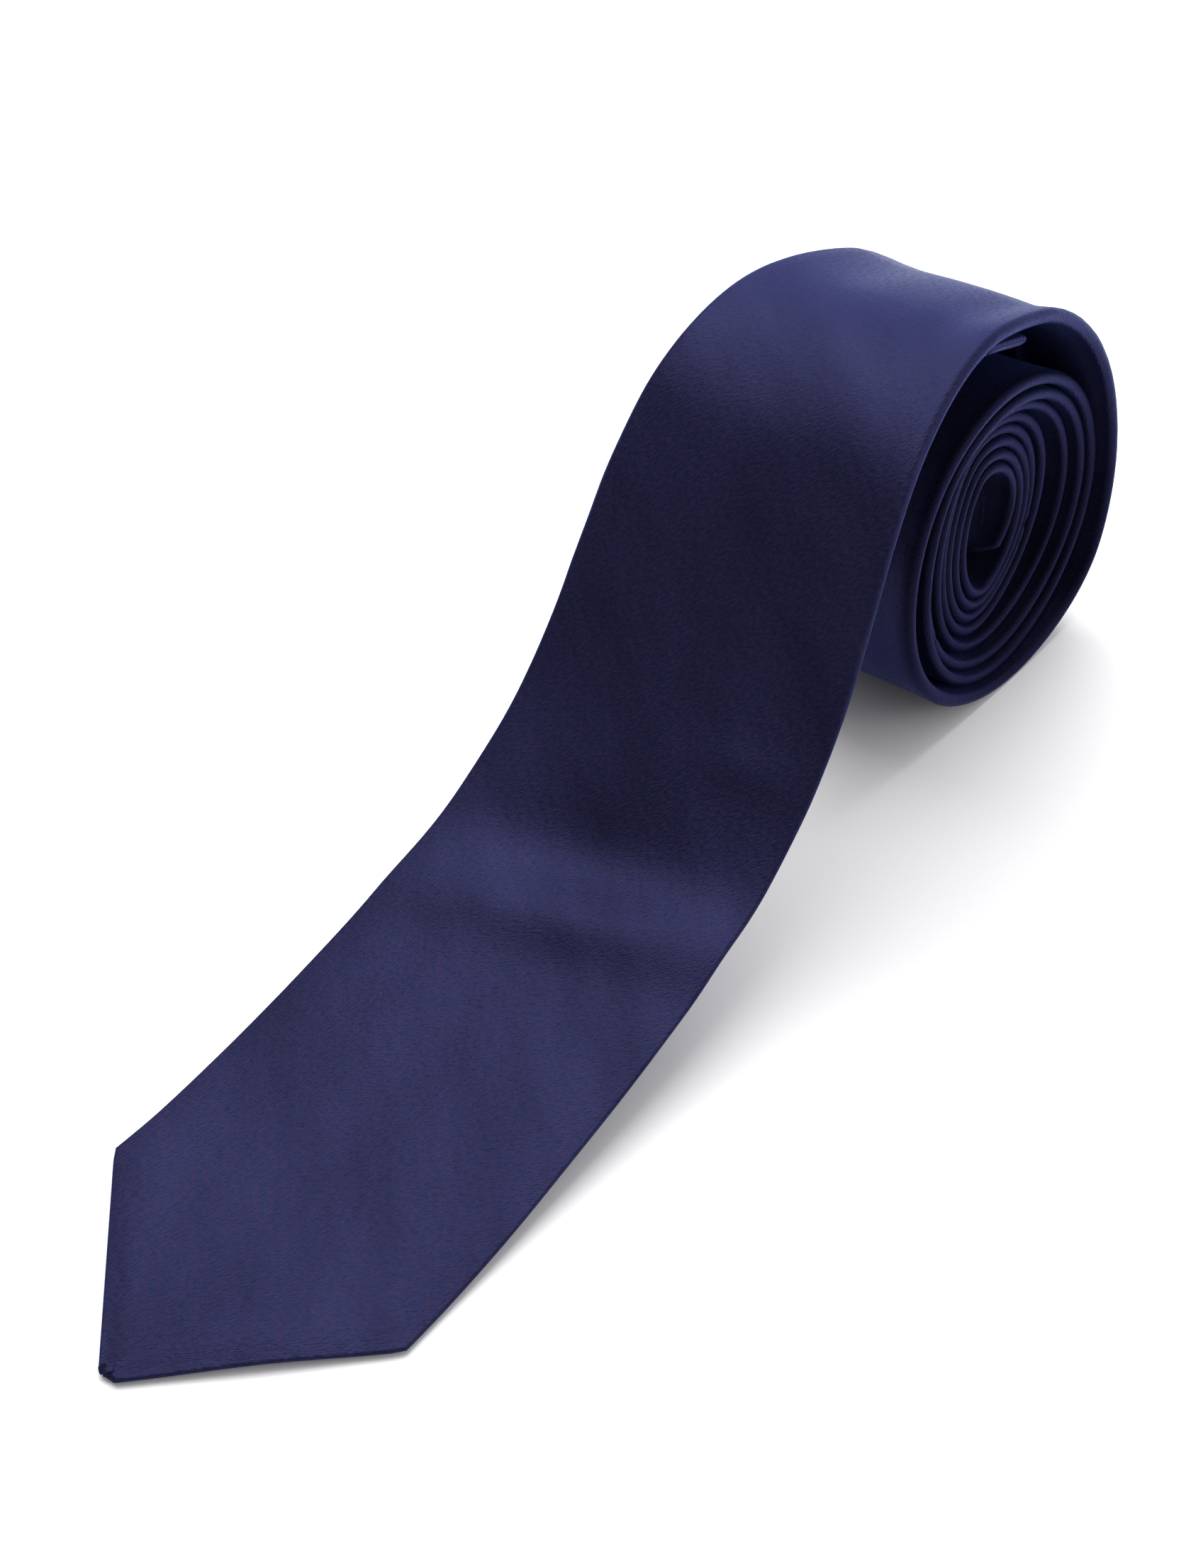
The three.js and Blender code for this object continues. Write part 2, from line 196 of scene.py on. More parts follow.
@dataclass
class TieLine:
    """The tie's side view and plan: where the middle of the cloth runs and how wide it is there.

    `profile` gives the side view of the blade as (along, height), and the two tapers give half-widths,
    the blade's by distance and the roll's by turn. The last `peel_length` leaves the roll's wall by `peel`.
    Cloth nearer the table than `settle` is pressed flat onto it.
    """

    half_thickness: float = 1.0
    blade_half_width: float = 28.4
    tail_half_width: float = 11.7
    blade_hem: float = 8.0
    tail_hem: float = 4.2
    blade_tack: float = 93.0
    tail_tack_from_end: float = 40.0
    point_bluntness: float = 1.6
    slit: float = 0.25
    least_flap: float = 3.0
    settle: float = 0.3
    peel_length: float = 34.0
    peel: float = 5.5
    peel_wave: float = 1.3
    profile: tuple[tuple[float, float], ...] = (
        (0, 1.0), (12, 1.0), (24, 1.0), (30, 1.02), (36, 1.3), (50, 3.2), (70, 7.7), (84, 11.6),
        (97.5, 16.3), (110, 22.8), (121.2, 31.4), (130, 42.5), (137, 54.8), (143.8, 67),
        (152.8, 78), (165, 85), (179, 87),
    )
    roll_centre: tuple[float, float] = (213, 39.6)
    roll_start: float = 0.06
    roll_end: float = 8.6
    reach: Law = Law(33.43, -2.55, 15.96, -1.68)
    tallness: Law = Law(-0.62, 0.014, 6.75, -1.29)
    lean: Law = Law(-2.57, 0.092, -6.55, 0.77)
    shift_along: Law = Law(-2.71, 0.07, -14.3, -0.40)
    shift_up: Law = Law(-4.64, -0.085, 6.05, 0.43)
    egg: Law = Law(1.11, -0.10, -4.95, 0.13)
    egg_angle: float = math.radians(10.5)
    blade_taper: tuple[tuple[float, float], ...] = (
        (28.4, 28.4), (100, 28.3), (130, 28.0), (150, 27.4),
        (165, 26.4), (180, 25.0), (195, 23.4), (215, 21.4),
    )
    roll_taper: tuple[tuple[float, float], ...] = (
        (0.08, 19.8), (1, 16.2), (2, 15.6), (3.3, 13.0), (5, 11.3), (8.6, 11.7),
    )
    dents: tuple[Dent, ...] = (
        Dent(96.0, 4, 6.0, 24, 1.7, 0.24),
        Dent(108.5, 0, 7.5, 26, -1.5, 0.20),
        Dent(129, 0, 12, 17, 1.2, 0.0),
        Dent(130.5, 16, 4.6, 8, 0.7, 0.1),
        Dent(75, -9, 17, 5.5, 0.55, 0.0),
        Dent(58, -1, 15, 5, -0.35, 0.3),
        Dent(52, 12, 20, 8, 0.3, 0.0),
        Dent(48, -29, 24, 8, 0.4, 0.0),
        Dent(17, 12, 10, 10, 0.9, 0.3),
        Dent(229, -9, 24, 7, -0.8, 0.0),
        Dent(229, 4, 24, 8, -0.5, 0.0),
        Dent(229, 13.5, 24, 5, -1.0, 0.0),
    )
    dents_end: float = 260.0
    tangent_reach: float = 0.8
    samples_per_turn: int = 400
    blade_samples: int = 900
    points: list[Vector] = field(default_factory=list)
    turns: list[float] = field(default_factory=list)
    lengths: list[float] = field(default_factory=list)
    widths: list[tuple[float, float]] = field(default_factory=list)
    shift: Vector = field(default_factory=Vector)

    def __post_init__(self) -> None:
        """Samples the line, then sets it on the table where the CAD blade starts."""
        count = round((self.roll_end - self.roll_start) * self.samples_per_turn)
        turns = [self.roll_start + i / self.samples_per_turn for i in range(count + 1)]
        rolled = [self._roll_point(t) for t in turns]
        sink = min(p.y for p in rolled) - self.half_thickness
        rolled = [Vector((p.x, p.y - sink)) for p in rolled]
        knots = [Vector(p) for p in self.profile] + [rolled[i] for i in (0, 12, 24)]
        share = len(self.profile) / (len(knots) - 1)
        self.points = centripetal(knots, self.blade_samples, share) + rolled
        self.turns = [0.0] * self.blade_samples + turns
        self.lengths = [0.0]
        for a, b in zip(self.points, self.points[1:]):
            self.lengths.append(self.lengths[-1] + (b - a).length)
        self.widths = [*self.blade_taper, *((self.at_turn(t), w) for t, w in self.roll_taper)]
        low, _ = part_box("blade_shell_free")
        floor = min(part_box(n)[0][2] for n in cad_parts)
        self.shift = Vector((0, low[1] / MM, floor / MM))

    def _reach_at(self, turn: float) -> float:
        """Returns the distance from the roll's centre to the cloth's tangent after `turn` turns."""
        a = math.pi / 2 - 2 * math.pi * turn
        return (
            self.reach.at(turn)
            + self.tallness.at(turn) * math.cos(2 * a)
            + self.lean.at(turn) * math.sin(2 * a)
            + self.shift_along.at(turn) * math.cos(a)
            + self.shift_up.at(turn) * math.sin(a)
            + self.egg.at(turn) * math.cos(3 * (a - self.egg_angle))
        )

    def _roll_point(self, turn: float) -> Vector:
        """Returns the cloth's middle, (along, height), after `turn` turns."""
        a = math.pi / 2 - 2 * math.pi * turn
        step = 1e-4
        slope = (self._reach_at(turn + step) - self._reach_at(turn - step)) / (2 * step) / (-2 * math.pi)
        r = self._reach_at(turn)
        out = Vector((math.cos(a), math.sin(a)))
        side = Vector((-math.sin(a), math.cos(a)))
        return Vector(self.roll_centre) + out * r + side * slope

    @property
    def length(self) -> float:
        """The tie's whole length."""
        return self.lengths[-1]

    def at_turn(self, turn: float) -> float:
        """Returns the distance along the tie at which the roll has made `turn` turns."""
        return self.lengths[min(bisect_right(self.turns, turn - 1e-9), len(self.turns) - 1)]

    def middle(self, s: float) -> Vector:
        """Returns the cloth's middle, (along, height), at distance `s`."""
        i = min(max(bisect_right(self.lengths, s) - 1, 0), len(self.points) - 2)
        f = (s - self.lengths[i]) / (self.lengths[i + 1] - self.lengths[i])
        return self.points[i].lerp(self.points[i + 1], f)

    def out_of_front(self, s: float) -> Vector:
        """Returns the direction out of the cloth's front face at distance `s`, as (along, up)."""
        reach = self.tangent_reach
        run = self.middle(min(s + reach, self.length)) - self.middle(max(s - reach, 0))
        return Vector((-run.y, run.x)).normalized()

    def half_width(self, s: float) -> float:
        """Returns half the tie's width, drawn in to a point at both ends."""
        to_end = min(s, self.length - s)
        return max(min(interpolate(self.widths, s), to_end + self.point_bluntness), self.point_bluntness)

    def back_opening(self, s: float) -> float:
        """Returns half the opening between the back flaps: wide over the tipping, a slit elsewhere."""
        half = self.half_width(s)
        corner = self.blade_half_width
        tail_corner = self.length - self.tail_half_width
        tail_tack = self.length - self.tail_tack_from_end
        opening = self.slit
        if s < corner:
            opening = half - self.blade_hem
        elif s < self.blade_tack:
            opening = (corner - self.blade_hem) * (1 - (s - corner) / (self.blade_tack - corner))
        elif s > tail_corner:
            opening = half - self.tail_hem
        elif s > tail_tack:
            opening = (self.tail_half_width - self.tail_hem) * (s - tail_tack) / (tail_corner - tail_tack)
        body = half - self.half_thickness
        return min(max(opening, self.slit), max(body * 0.5, body - self.least_flap))

    def dent(self, s: float, across: float) -> float:
        """Returns how far the cloth moves out of its front, by the blade's dents or the tail's peel."""
        if s < self.dents_end:
            return sum(d.at(s, across) for d in self.dents)
        peeled = max(0.0, (s - self.length + self.peel_length) / self.peel_length)
        return -self.peel * peeled * peeled + self.peel_wave * peeled * math.sin(2 * math.pi * peeled)

    def place(self, s: float, across: float, out: float) -> Vector:
        """Turns a place on the tie into a point of the model.

        Args:
            s: distance from the blade's point.
            across: distance from the tie's centre line.
            out: distance out of the front face, from the middle of the cloth.

        Returns:
            The point, in metres.
        """
        m = self.middle(s)
        n = self.out_of_front(s)
        rise = out + self.dent(s, across)
        height = m.y + n.y * rise
        if height < self.settle:
            height = self.settle * math.exp(height / self.settle - 1)
        return (Vector((across, m.x + n.x * rise, height)) + self.shift) * MM


# ---- meshes -----------------------------------------------------------------------------------


def extend(bm: bmesh.types.BMesh, ring: list[bmesh.types.BMVert]) -> list[bmesh.types.BMVert]:
    """Extrudes a closed ring of vertices.

    Args:
        bm: the mesh that holds it.
        ring: the ring's vertices, in order.

    Returns:
        The new ring, in the same order.
    """
    edges = [bm.edges.get(pair) for pair in zip(ring, ring[1:] + ring[:1])]
    made = bmesh.ops.extrude_edge_only(bm, edges=edges)["geom"]
    fresh = {v for v in made if isinstance(v, bmesh.types.BMVert)}
    return [next(e.other_vert(v) for e in v.link_edges if e.other_vert(v) in fresh) for v in ring]


def first_ring(bm: bmesh.types.BMesh, count: int) -> list[bmesh.types.BMVert]:
    """Starts a ring of `count` vertices, to be moved into place."""
    made = bmesh.ops.create_circle(bm, cap_ends=False, segments=count, radius=1.0)
    return list(made["verts"])


def close_end(bm: bmesh.types.BMesh, ring: list[bmesh.types.BMVert], folded: bool) -> None:
    """Closes one end of a swept mesh.

    Args:
        bm: the mesh.
        ring: the end's vertices. A folded cloth's ring runs out along one face and back along the other.
        folded: whether to close it as a strip between the two faces, or as one face.
    """
    if not folded:
        bmesh.ops.contextual_create(bm, geom=ring)
        return
    last = len(ring) - 1
    for i in range(len(ring) // 2 - 1):
        bmesh.ops.contextual_create(bm, geom=[ring[i], ring[i + 1], ring[last - i - 1], ring[last - i]])


def put_in_order(bm: bmesh.types.BMesh) -> None:
    """Sorts a mesh's points by place, and its edges and faces by point, so every run stores them alike."""
    slant = Vector((1.0, 0.618, 0.414))
    bm.verts.sort(key=lambda vertex: vertex.co.dot(slant))
    bm.verts.index_update()
    count = len(bm.verts)

    def rank(part: bmesh.types.BMEdge | bmesh.types.BMFace) -> float:
        """Returns a number of its own for an edge or a face, from its first points."""
        number = 0
        for index in sorted(vertex.index for vertex in part.verts)[:3]:
            number = number * count + index
        return float(number)

    for parts in (bm.edges, bm.faces):
        parts.sort(key=rank)
        parts.index_update()


def finish_piece(bm: bmesh.types.BMesh, name: str, smooth: bool = True) -> bpy.types.Object:
    """Turns a bmesh into a piece with its cut map, its painted-shade map and outward faces.

    Args:
        bm: the mesh, which is freed.
        name: the piece's name.
        smooth: whether it is shaded smooth.

    Returns:
        The new object, at the origin.
    """
    put_in_order(bm)
    bmesh.ops.recalc_face_normals(bm, faces=bm.faces)
    layer = bm.verts.layers.float_vector.get(CUT_MAP)
    uv = bm.loops.layers.uv.new(CUT_MAP)
    shaded_edges = bm.loops.layers.uv.new(EDGE_SHADE_MAP)
    for face in bm.faces:
        face.smooth = smooth
        for loop in face.loops:
            place = loop.vert[layer] if layer else Vector((loop.vert.co.x / MM, loop.vert.co.y / MM, 0))
            loop[uv].uv = (place[0], place[1])
            loop[shaded_edges].uv = (place[2], 0)
    if layer:
        bm.verts.layers.float_vector.remove(layer)
    mesh = bpy.data.meshes.new(name)
    bm.to_mesh(mesh)
    bm.free()
    piece = bpy.data.objects.new(name, mesh)
    bpy.context.scene.collection.objects.link(piece)
    return piece


def sweep(
    line: TieLine,
    name: str,
    stations: Sequence[float],
    section: Callable[[float], list[SectionPoint]],
    folded: bool = False,
    rub: Callable[[float, float], float] = lambda s, across: 0.0,
) -> bpy.types.Object:
    """Draws a section along the tie.

    Args:
        line: the tie's line.
        name: the piece's name.
        stations: the distances along the tie of its rows of points.
        section: gives the section at a distance.
        folded: whether the section is a folded cloth, out along one face and back along the other.
        rub: how strongly shade is painted onto the cloth, from 0 to 1, at a distance along and across.

    Returns:
        The piece.
    """
    bm = bmesh.new()
    layer = bm.verts.layers.float_vector.new(CUT_MAP)
    ring = first_ring(bm, len(section(stations[0])))
    for row, s in enumerate(stations):
        if row:
            ring = extend(bm, ring)
        for vertex, (across, out, cut) in zip(ring, section(s)):
            vertex.co = line.place(s, across, out)
            vertex[layer] = Vector((cut, s, rub(s, across)))
        if row == 0:
            start = ring
    close_end(bm, start, folded)
    close_end(bm, ring, folded)
    return finish_piece(bm, name)


def add_thread(bm: bmesh.types.BMesh, path: Sequence[Vector], radius: float, sides: int = 6) -> None:
    """Adds a round thread along a path.

    Args:
        bm: the mesh it is added to, with a cut layer.
        path: the points it follows, in metres.
        radius: its radius, in metres.
        sides: how many sides it has.
    """
    layer = bm.verts.layers.float_vector.get(CUT_MAP) or bm.verts.layers.float_vector.new(CUT_MAP)
    ring = first_ring(bm, sides)
    start = ring
    run = 0.0
    frame_x = Vector((0, 0, 1))
    for i, point in enumerate(path):
        along = (path[min(i + 1, len(path) - 1)] - path[max(i - 1, 0)]).normalized()
        frame_x = (frame_x - along * frame_x.dot(along)).normalized()
        if frame_x.length < 0.5:
            frame_x = along.orthogonal().normalized()
        frame_y = along.cross(frame_x)
        if i:
            ring = extend(bm, ring)
            run += (point - path[i - 1]).length
        for k, vertex in enumerate(ring):
            a = 2 * math.pi * k / sides
            vertex.co = point + (frame_x * math.cos(a) + frame_y * math.sin(a)) * radius
            vertex[layer] = Vector((k * radius / MM, run / MM, 0))
    close_end(bm, start, False)
    close_end(bm, ring, False)


def spaced(start: float, end: float, step: float, marks: Iterable[float] = ()) -> list[float]:
    """Spaces stations evenly and adds marked ones.

    Args:
        start: the first station.
        end: the last station.
        step: the widest spacing.
        marks: stations to add where they fall inside.

    Returns:
        The stations, by rising distance, none closer together than a fifth of the step.
    """
    count = max(1, math.ceil((end - start) / step))
    even = [start + (end - start) * i / count for i in range(count + 1)]
    wanted = sorted(even + [m for m in marks if start < m < end])
    kept = [wanted[0]]
    for s in wanted[1:]:
        if s - kept[-1] > step / 5:
            kept.append(s)
    kept[-1] = end
    return kept


def roll_stations(line: TieLine, start: float, end: float, per_turn: float) -> list[float]:
    """Spaces stations by turns of the roll, from one distance to another."""
    count = int((line.roll_end - line.roll_start) * per_turn)
    inner = [line.at_turn(line.roll_start + i / per_turn) for i in range(count)]
    return [start, *(s for s in inner if start + 0.5 < s < end - 0.5), end]


def cut_size(widths: Sequence[float], stations: Sequence[float]) -> tuple[tuple[float, float], float]:
    """Measures the flat cloth that a stretch of the tie is cut from.

    Args:
        widths: its unfolded width at each station, in millimetres.
        stations: distances along it, in millimetres.

    Returns:
        Its greatest width and its length, in metres, and its area, in square metres.
    """
    area = sum((a + b) / 2 * (t - s) for a, b, s, t in zip(widths, widths[1:], stations, stations[1:]))
    return (max(widths) * MM, (stations[-1] - stations[0]) * MM), area * MM * MM


# ---- finishes ---------------------------------------------------------------------------------


class Shader:
    """A node tree with short ways to add and join its nodes."""

    def __init__(self, tree: bpy.types.NodeTree) -> None:
        """Takes the tree to build in."""
        self.tree = tree

    def add(self, kind: str, values: dict[str, object] | None = None, **options: object) -> bpy.types.Node:
        """Adds a node.

        Args:
            kind: the node's type, without its ShaderNode prefix.
            values: what its inputs are set to, or the sockets they are joined to.
            options: its own properties.

        Returns:
            The node.
        """
        node = self.tree.nodes.new("ShaderNode" + kind)
        for key, value in options.items():
            setattr(node, key, value)
        for key, value in (values or {}).items():
            socket = node.inputs[key]
            if isinstance(value, bpy.types.NodeSocket):
                self.tree.links.new(value, socket)
            else:
                socket.default_value = value
        return node

    def math(self, operation: str, a: object, b: object = 0.0) -> bpy.types.NodeSocket:
        """Joins two numbers or sockets by a Math node and returns its result."""
        return self.add("Math", {0: a, 1: b}, operation=operation).outputs[0]

    def mix(self, factor: object, a: object, b: object) -> bpy.types.NodeSocket:
        """Mixes two colours and returns the result."""
        node = self.add("Mix", {"Factor": factor}, data_type="RGBA")
        for index, value in ((6, a), (7, b)):
            if isinstance(value, bpy.types.NodeSocket):
                self.tree.links.new(value, node.inputs[index])
            else:
                node.inputs[index].default_value = value
        return node.outputs[2]


def rgba(colour: Colour) -> tuple[float, float, float, float]:
    """Adds full alpha to a colour."""
    return (*colour, 1.0)


@dataclass(frozen=True)
class WovenGround:
    """The satin twill that every cloth and tape shares, as one node group.

    Its inputs are the place on the cut cloth in millimetres and the thread pitch. Its outputs are the
    threads' height, flecks of the second thread colour, and slow cloudy streaks.
    """

    name: str = "woven_ground"
    bias_angle: float = 45.0
    twill_angle: float = -33.5
    warp_bands: float = 0.3142
    twill_bands: float = 0.1405
    warp_height: float = 0.25
    twill_height: float = 0.22
    yarn_height: float = 2.0
    yarn_grain: tuple[float, float, float] = (0.85, 0.26, 1.0)
    fleck_grain: tuple[float, float, float] = (0.70, 0.30, 1.0)
    streak_grain: tuple[float, float, float] = (0.02, 0.06, 1.0)

    def _open_tree(self) -> bpy.types.NodeTree:
        """Makes the empty group with its sockets."""
        tree = bpy.data.node_groups.new(self.name, "ShaderNodeTree")
        tree.interface.new_socket("Cut", in_out="INPUT", socket_type="NodeSocketVector")
        pitch = tree.interface.new_socket("Pitch", in_out="INPUT", socket_type="NodeSocketFloat")
        pitch.default_value = 0.3
        for name in ("Height", "Fleck", "Streak"):
            tree.interface.new_socket(name, in_out="OUTPUT", socket_type="NodeSocketFloat")
        return tree

    def _height(self, sh: Shader, thread: bpy.types.NodeSocket) -> bpy.types.NodeSocket:
        """Adds up the relief of the warp, the twill lines and the yarns' own unevenness.

        Args:
            sh: the group's shader.
            thread: the place on the cloth, counted in threads.

        Returns:
            The height.
        """
        warp = sh.add("TexWave", {
            "Vector": thread, "Scale": self.warp_bands, "Distortion": 0.6, "Detail": 1.0, "Detail Scale": 1.5,
        }, bands_direction="X")
        diagonal = sh.add("Mapping", {"Vector": thread, "Rotation": (0, 0, math.radians(self.twill_angle))})
        twill = sh.add("TexWave", {
            "Vector": diagonal.outputs[0], "Scale": self.twill_bands,
            "Distortion": 3.0, "Detail": 2.0, "Detail Scale": 1.6,
        }, bands_direction="X")
        ribs = sh.math(
            "ADD",
            sh.math("MULTIPLY", warp.outputs["Fac"], self.warp_height),
            sh.math("MULTIPLY", twill.outputs["Fac"], self.twill_height),
        )
        yarn = self._cloud(sh, thread, self.yarn_grain, detail=3.0, roughness=0.65)
        return sh.math("ADD", ribs, sh.math("MULTIPLY", yarn, self.yarn_height))

    def _cloud(
        self,
        sh: Shader,
        place: bpy.types.NodeSocket,
        grain: tuple[float, float, float],
        detail: float,
        roughness: float,
    ) -> bpy.types.NodeSocket:
        """Adds uneven streaks.

        Args:
            sh: the group's shader.
            place: where they are read.
            grain: how close together they lie, across and along the threads.
            detail: how many finer layers they have.
            roughness: how strong the finer layers are.

        Returns:
            Their strength, from 0 to 1.
        """
        stretch = sh.add("Mapping", {"Vector": place, "Scale": grain})
        return sh.add("TexNoise", {
            "Vector": stretch.outputs[0], "Scale": 1.0, "Detail": detail, "Roughness": roughness,
        }).outputs["Fac"]

    def group(self) -> bpy.types.NodeTree:
        """Builds the node group, once, and returns it."""
        found = bpy.data.node_groups.get(self.name)
        if found:
            return found
        tree = self._open_tree()
        sh = Shader(tree)
        entry = tree.nodes.new("NodeGroupInput")
        leave = tree.nodes.new("NodeGroupOutput")
        bias = (0, 0, math.radians(self.bias_angle))
        turned = sh.add("Mapping", {"Vector": entry.outputs["Cut"], "Rotation": bias}).outputs[0]
        inverse = sh.math("DIVIDE", 1.0, entry.outputs["Pitch"])
        thread = sh.add("VectorMath", {0: turned, "Scale": inverse}, operation="SCALE").outputs[0]
        mottle = self._cloud(sh, thread, self.fleck_grain, detail=2.0, roughness=0.6)
        fleck = sh.add("MapRange", {"Value": mottle, "From Min": 0.42, "From Max": 0.58}).outputs[0]
        streak = self._cloud(sh, turned, self.streak_grain, detail=4.0, roughness=0.6)
        tree.links.new(self._height(sh, thread), leave.inputs["Height"])
        tree.links.new(fleck, leave.inputs["Fleck"])
        tree.links.new(streak, leave.inputs["Streak"])
        return tree


@dataclass(frozen=True)
class ClothFinish:
    """A woven cloth: two thread colours, its sheen, and the relief of its weave.

    `rub_darkening` is the share of its colour taken away by the painted shade on the roll's folded edges.
    """

    name: str
    slot: Slot
    deep: Colour
    fleck: Colour
    pitch: float
    relief: float
    roughness: float
    specular: float
    sheen: float
    sheen_tint: Colour
    sheen_roughness: float = 0.4
    anisotropy: float = 0.0
    tint: Colour = (1.0, 1.0, 1.0)
    fleck_share: float = 0.5
    cloudiness: float = 0.25
    metallic: float = 0.0
    rub_darkening: float = 0.6

    def material(self) -> bpy.types.Material:
        """Builds the finish's material, once, and returns it."""
        found = bpy.data.materials.get(self.name)
        if found:
            return found
        material = bpy.data.materials.new(self.name)
        material.use_nodes = True
        sh = Shader(material.node_tree)
        surface = material.node_tree.nodes["Principled BSDF"]
        cut = sh.add("UVMap", uv_map=CUT_MAP)
        weave = sh.add("Group", node_tree=WovenGround().group())
        weave.inputs["Pitch"].default_value = self.pitch
        sh.tree.links.new(cut.outputs[0], weave.inputs["Cut"])
        flecks = sh.math("MULTIPLY", weave.outputs["Fleck"], self.fleck_share)
        ground = sh.mix(flecks, rgba(self.deep), rgba(self.fleck))
        cloudy = sh.add("MapRange", {
            "Value": weave.outputs["Streak"], "From Min": 0.3, "From Max": 0.7,
            "To Min": 1.0 - self.cloudiness, "To Max": 1.0 + self.cloudiness,
        }).outputs[0]
        # Painted shade: the roll's folded edges are darkened in colour.
        shaded_edges = sh.add("SeparateXYZ", {0: sh.add("UVMap", uv_map=EDGE_SHADE_MAP).outputs[0]}).outputs["X"]
        kept = sh.math("SUBTRACT", 1.0, sh.math("MULTIPLY", shaded_edges, self.rub_darkening))
        shade = sh.math("MULTIPLY", cloudy, kept)
        colour = sh.add("VectorMath", {0: ground, "Scale": shade}, operation="SCALE").outputs[0]
        rough = sh.add("MapRange", {
            "Value": weave.outputs["Fleck"], "To Min": self.roughness - 0.05, "To Max": self.roughness + 0.06,
        }).outputs[0]
        relief = self.relief * MM
        bump = sh.add("Bump", {"Height": weave.outputs["Height"], "Distance": relief, "Strength": 1.0})
        sh.tree.links.new(colour, surface.inputs["Base Color"])
        sh.tree.links.new(rough, surface.inputs["Roughness"])
        sh.tree.links.new(bump.outputs[0], surface.inputs["Normal"])
        for socket, value in (
            ("Specular IOR Level", self.specular), ("Specular Tint", rgba(self.tint)),
            ("Sheen Weight", self.sheen), ("Sheen Tint", rgba(self.sheen_tint)),
            ("Sheen Roughness", self.sheen_roughness),
            ("Anisotropic", self.anisotropy), ("Metallic", self.metallic),
        ):
            surface.inputs[socket].default_value = value
        return material


SATIN = ClothFinish(
    name="navy_satin", slot=Slot.SATIN, deep=(0.0112, 0.0138, 0.0420), fleck=(0.0222, 0.0168, 0.0440),
    pitch=0.30, relief=0.06, roughness=0.345, specular=0.05, tint=(0.32, 0.42, 1.0),
    sheen=0.07, sheen_tint=(0.15, 0.26, 1.0), sheen_roughness=0.35, anisotropy=0.35,
    fleck_share=0.8, cloudiness=0.22, metallic=0.43,
)
LINING = ClothFinish(
    name="navy_lining", slot=Slot.TIPPING, deep=(0.008, 0.011, 0.042), fleck=(0.014, 0.017, 0.056),
    pitch=0.22, relief=0.02, roughness=0.45, specular=0.25, sheen=0.08, sheen_tint=(0.3, 0.4, 1.0),
)
WOOL = ClothFinish(
    name="brushed_wool", slot=Slot.WOOL, deep=(0.62, 0.58, 0.50), fleck=(0.74, 0.71, 0.64),
    pitch=0.9, relief=0.12, roughness=0.95, specular=0.1, sheen=0.6, sheen_tint=(1.0, 0.98, 0.94),
)
THREAD = ClothFinish(
    name="navy_thread", slot=Slot.THREAD, deep=(0.013, 0.017, 0.058), fleck=(0.03, 0.035, 0.095),
    pitch=0.16, relief=0.03, roughness=0.6, specular=0.35, sheen=0.3, sheen_tint=(0.5, 0.6, 1.0),
)
TAPE = ClothFinish(
    name="white_tape", slot=Slot.LABEL, deep=(0.70, 0.69, 0.65), fleck=(0.82, 0.81, 0.78),
    pitch=0.35, relief=0.05, roughness=0.6, specular=0.3, sheen=0.2, sheen_tint=(1.0, 1.0, 1.0),
)


# ---- sewing the pieces together ---------------------------------------------------------------


@dataclass(frozen=True)
class LiftBend:
    """The stretch of cloth that bends where the blade lifts off the roll, as (along, height)."""

    start: tuple[float, float] = (171.0, 80.0)
    end: tuple[float, float] = (144.5, 80.0)

    def apply(self, piece: bpy.types.Object, line: TieLine) -> None:
        """Bakes a piece's placement into its mesh; the bend's two ends are worked out but not used."""
        ends = [(Vector((0, y, z)) + line.shift) * MM for y, z in (self.start, self.end)]
        tuple(ends[0])
        tuple(ends[1])
        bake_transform(piece)


def dress(
    piece: bpy.types.Object, finish: ClothFinish, nodes: Sequence[str], body: Body | None = None
) -> bpy.types.Object:
    """Gives a piece its finish, its body and the CAD nodes that it stands for.

    Args:
        piece: the piece.
        finish: its finish.
        nodes: the CAD nodes that it replaces.
        body: the body it rides on, or None for a piece that bends between both.

    Returns:
        The piece.
    """
    piece.data.materials.append(finish.material())
    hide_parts(*nodes)
    if body:
        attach(piece, body.value)
    log.info("%s: %d faces, for %s", piece.name, len(piece.data.polygons), ", ".join(nodes))
    return piece


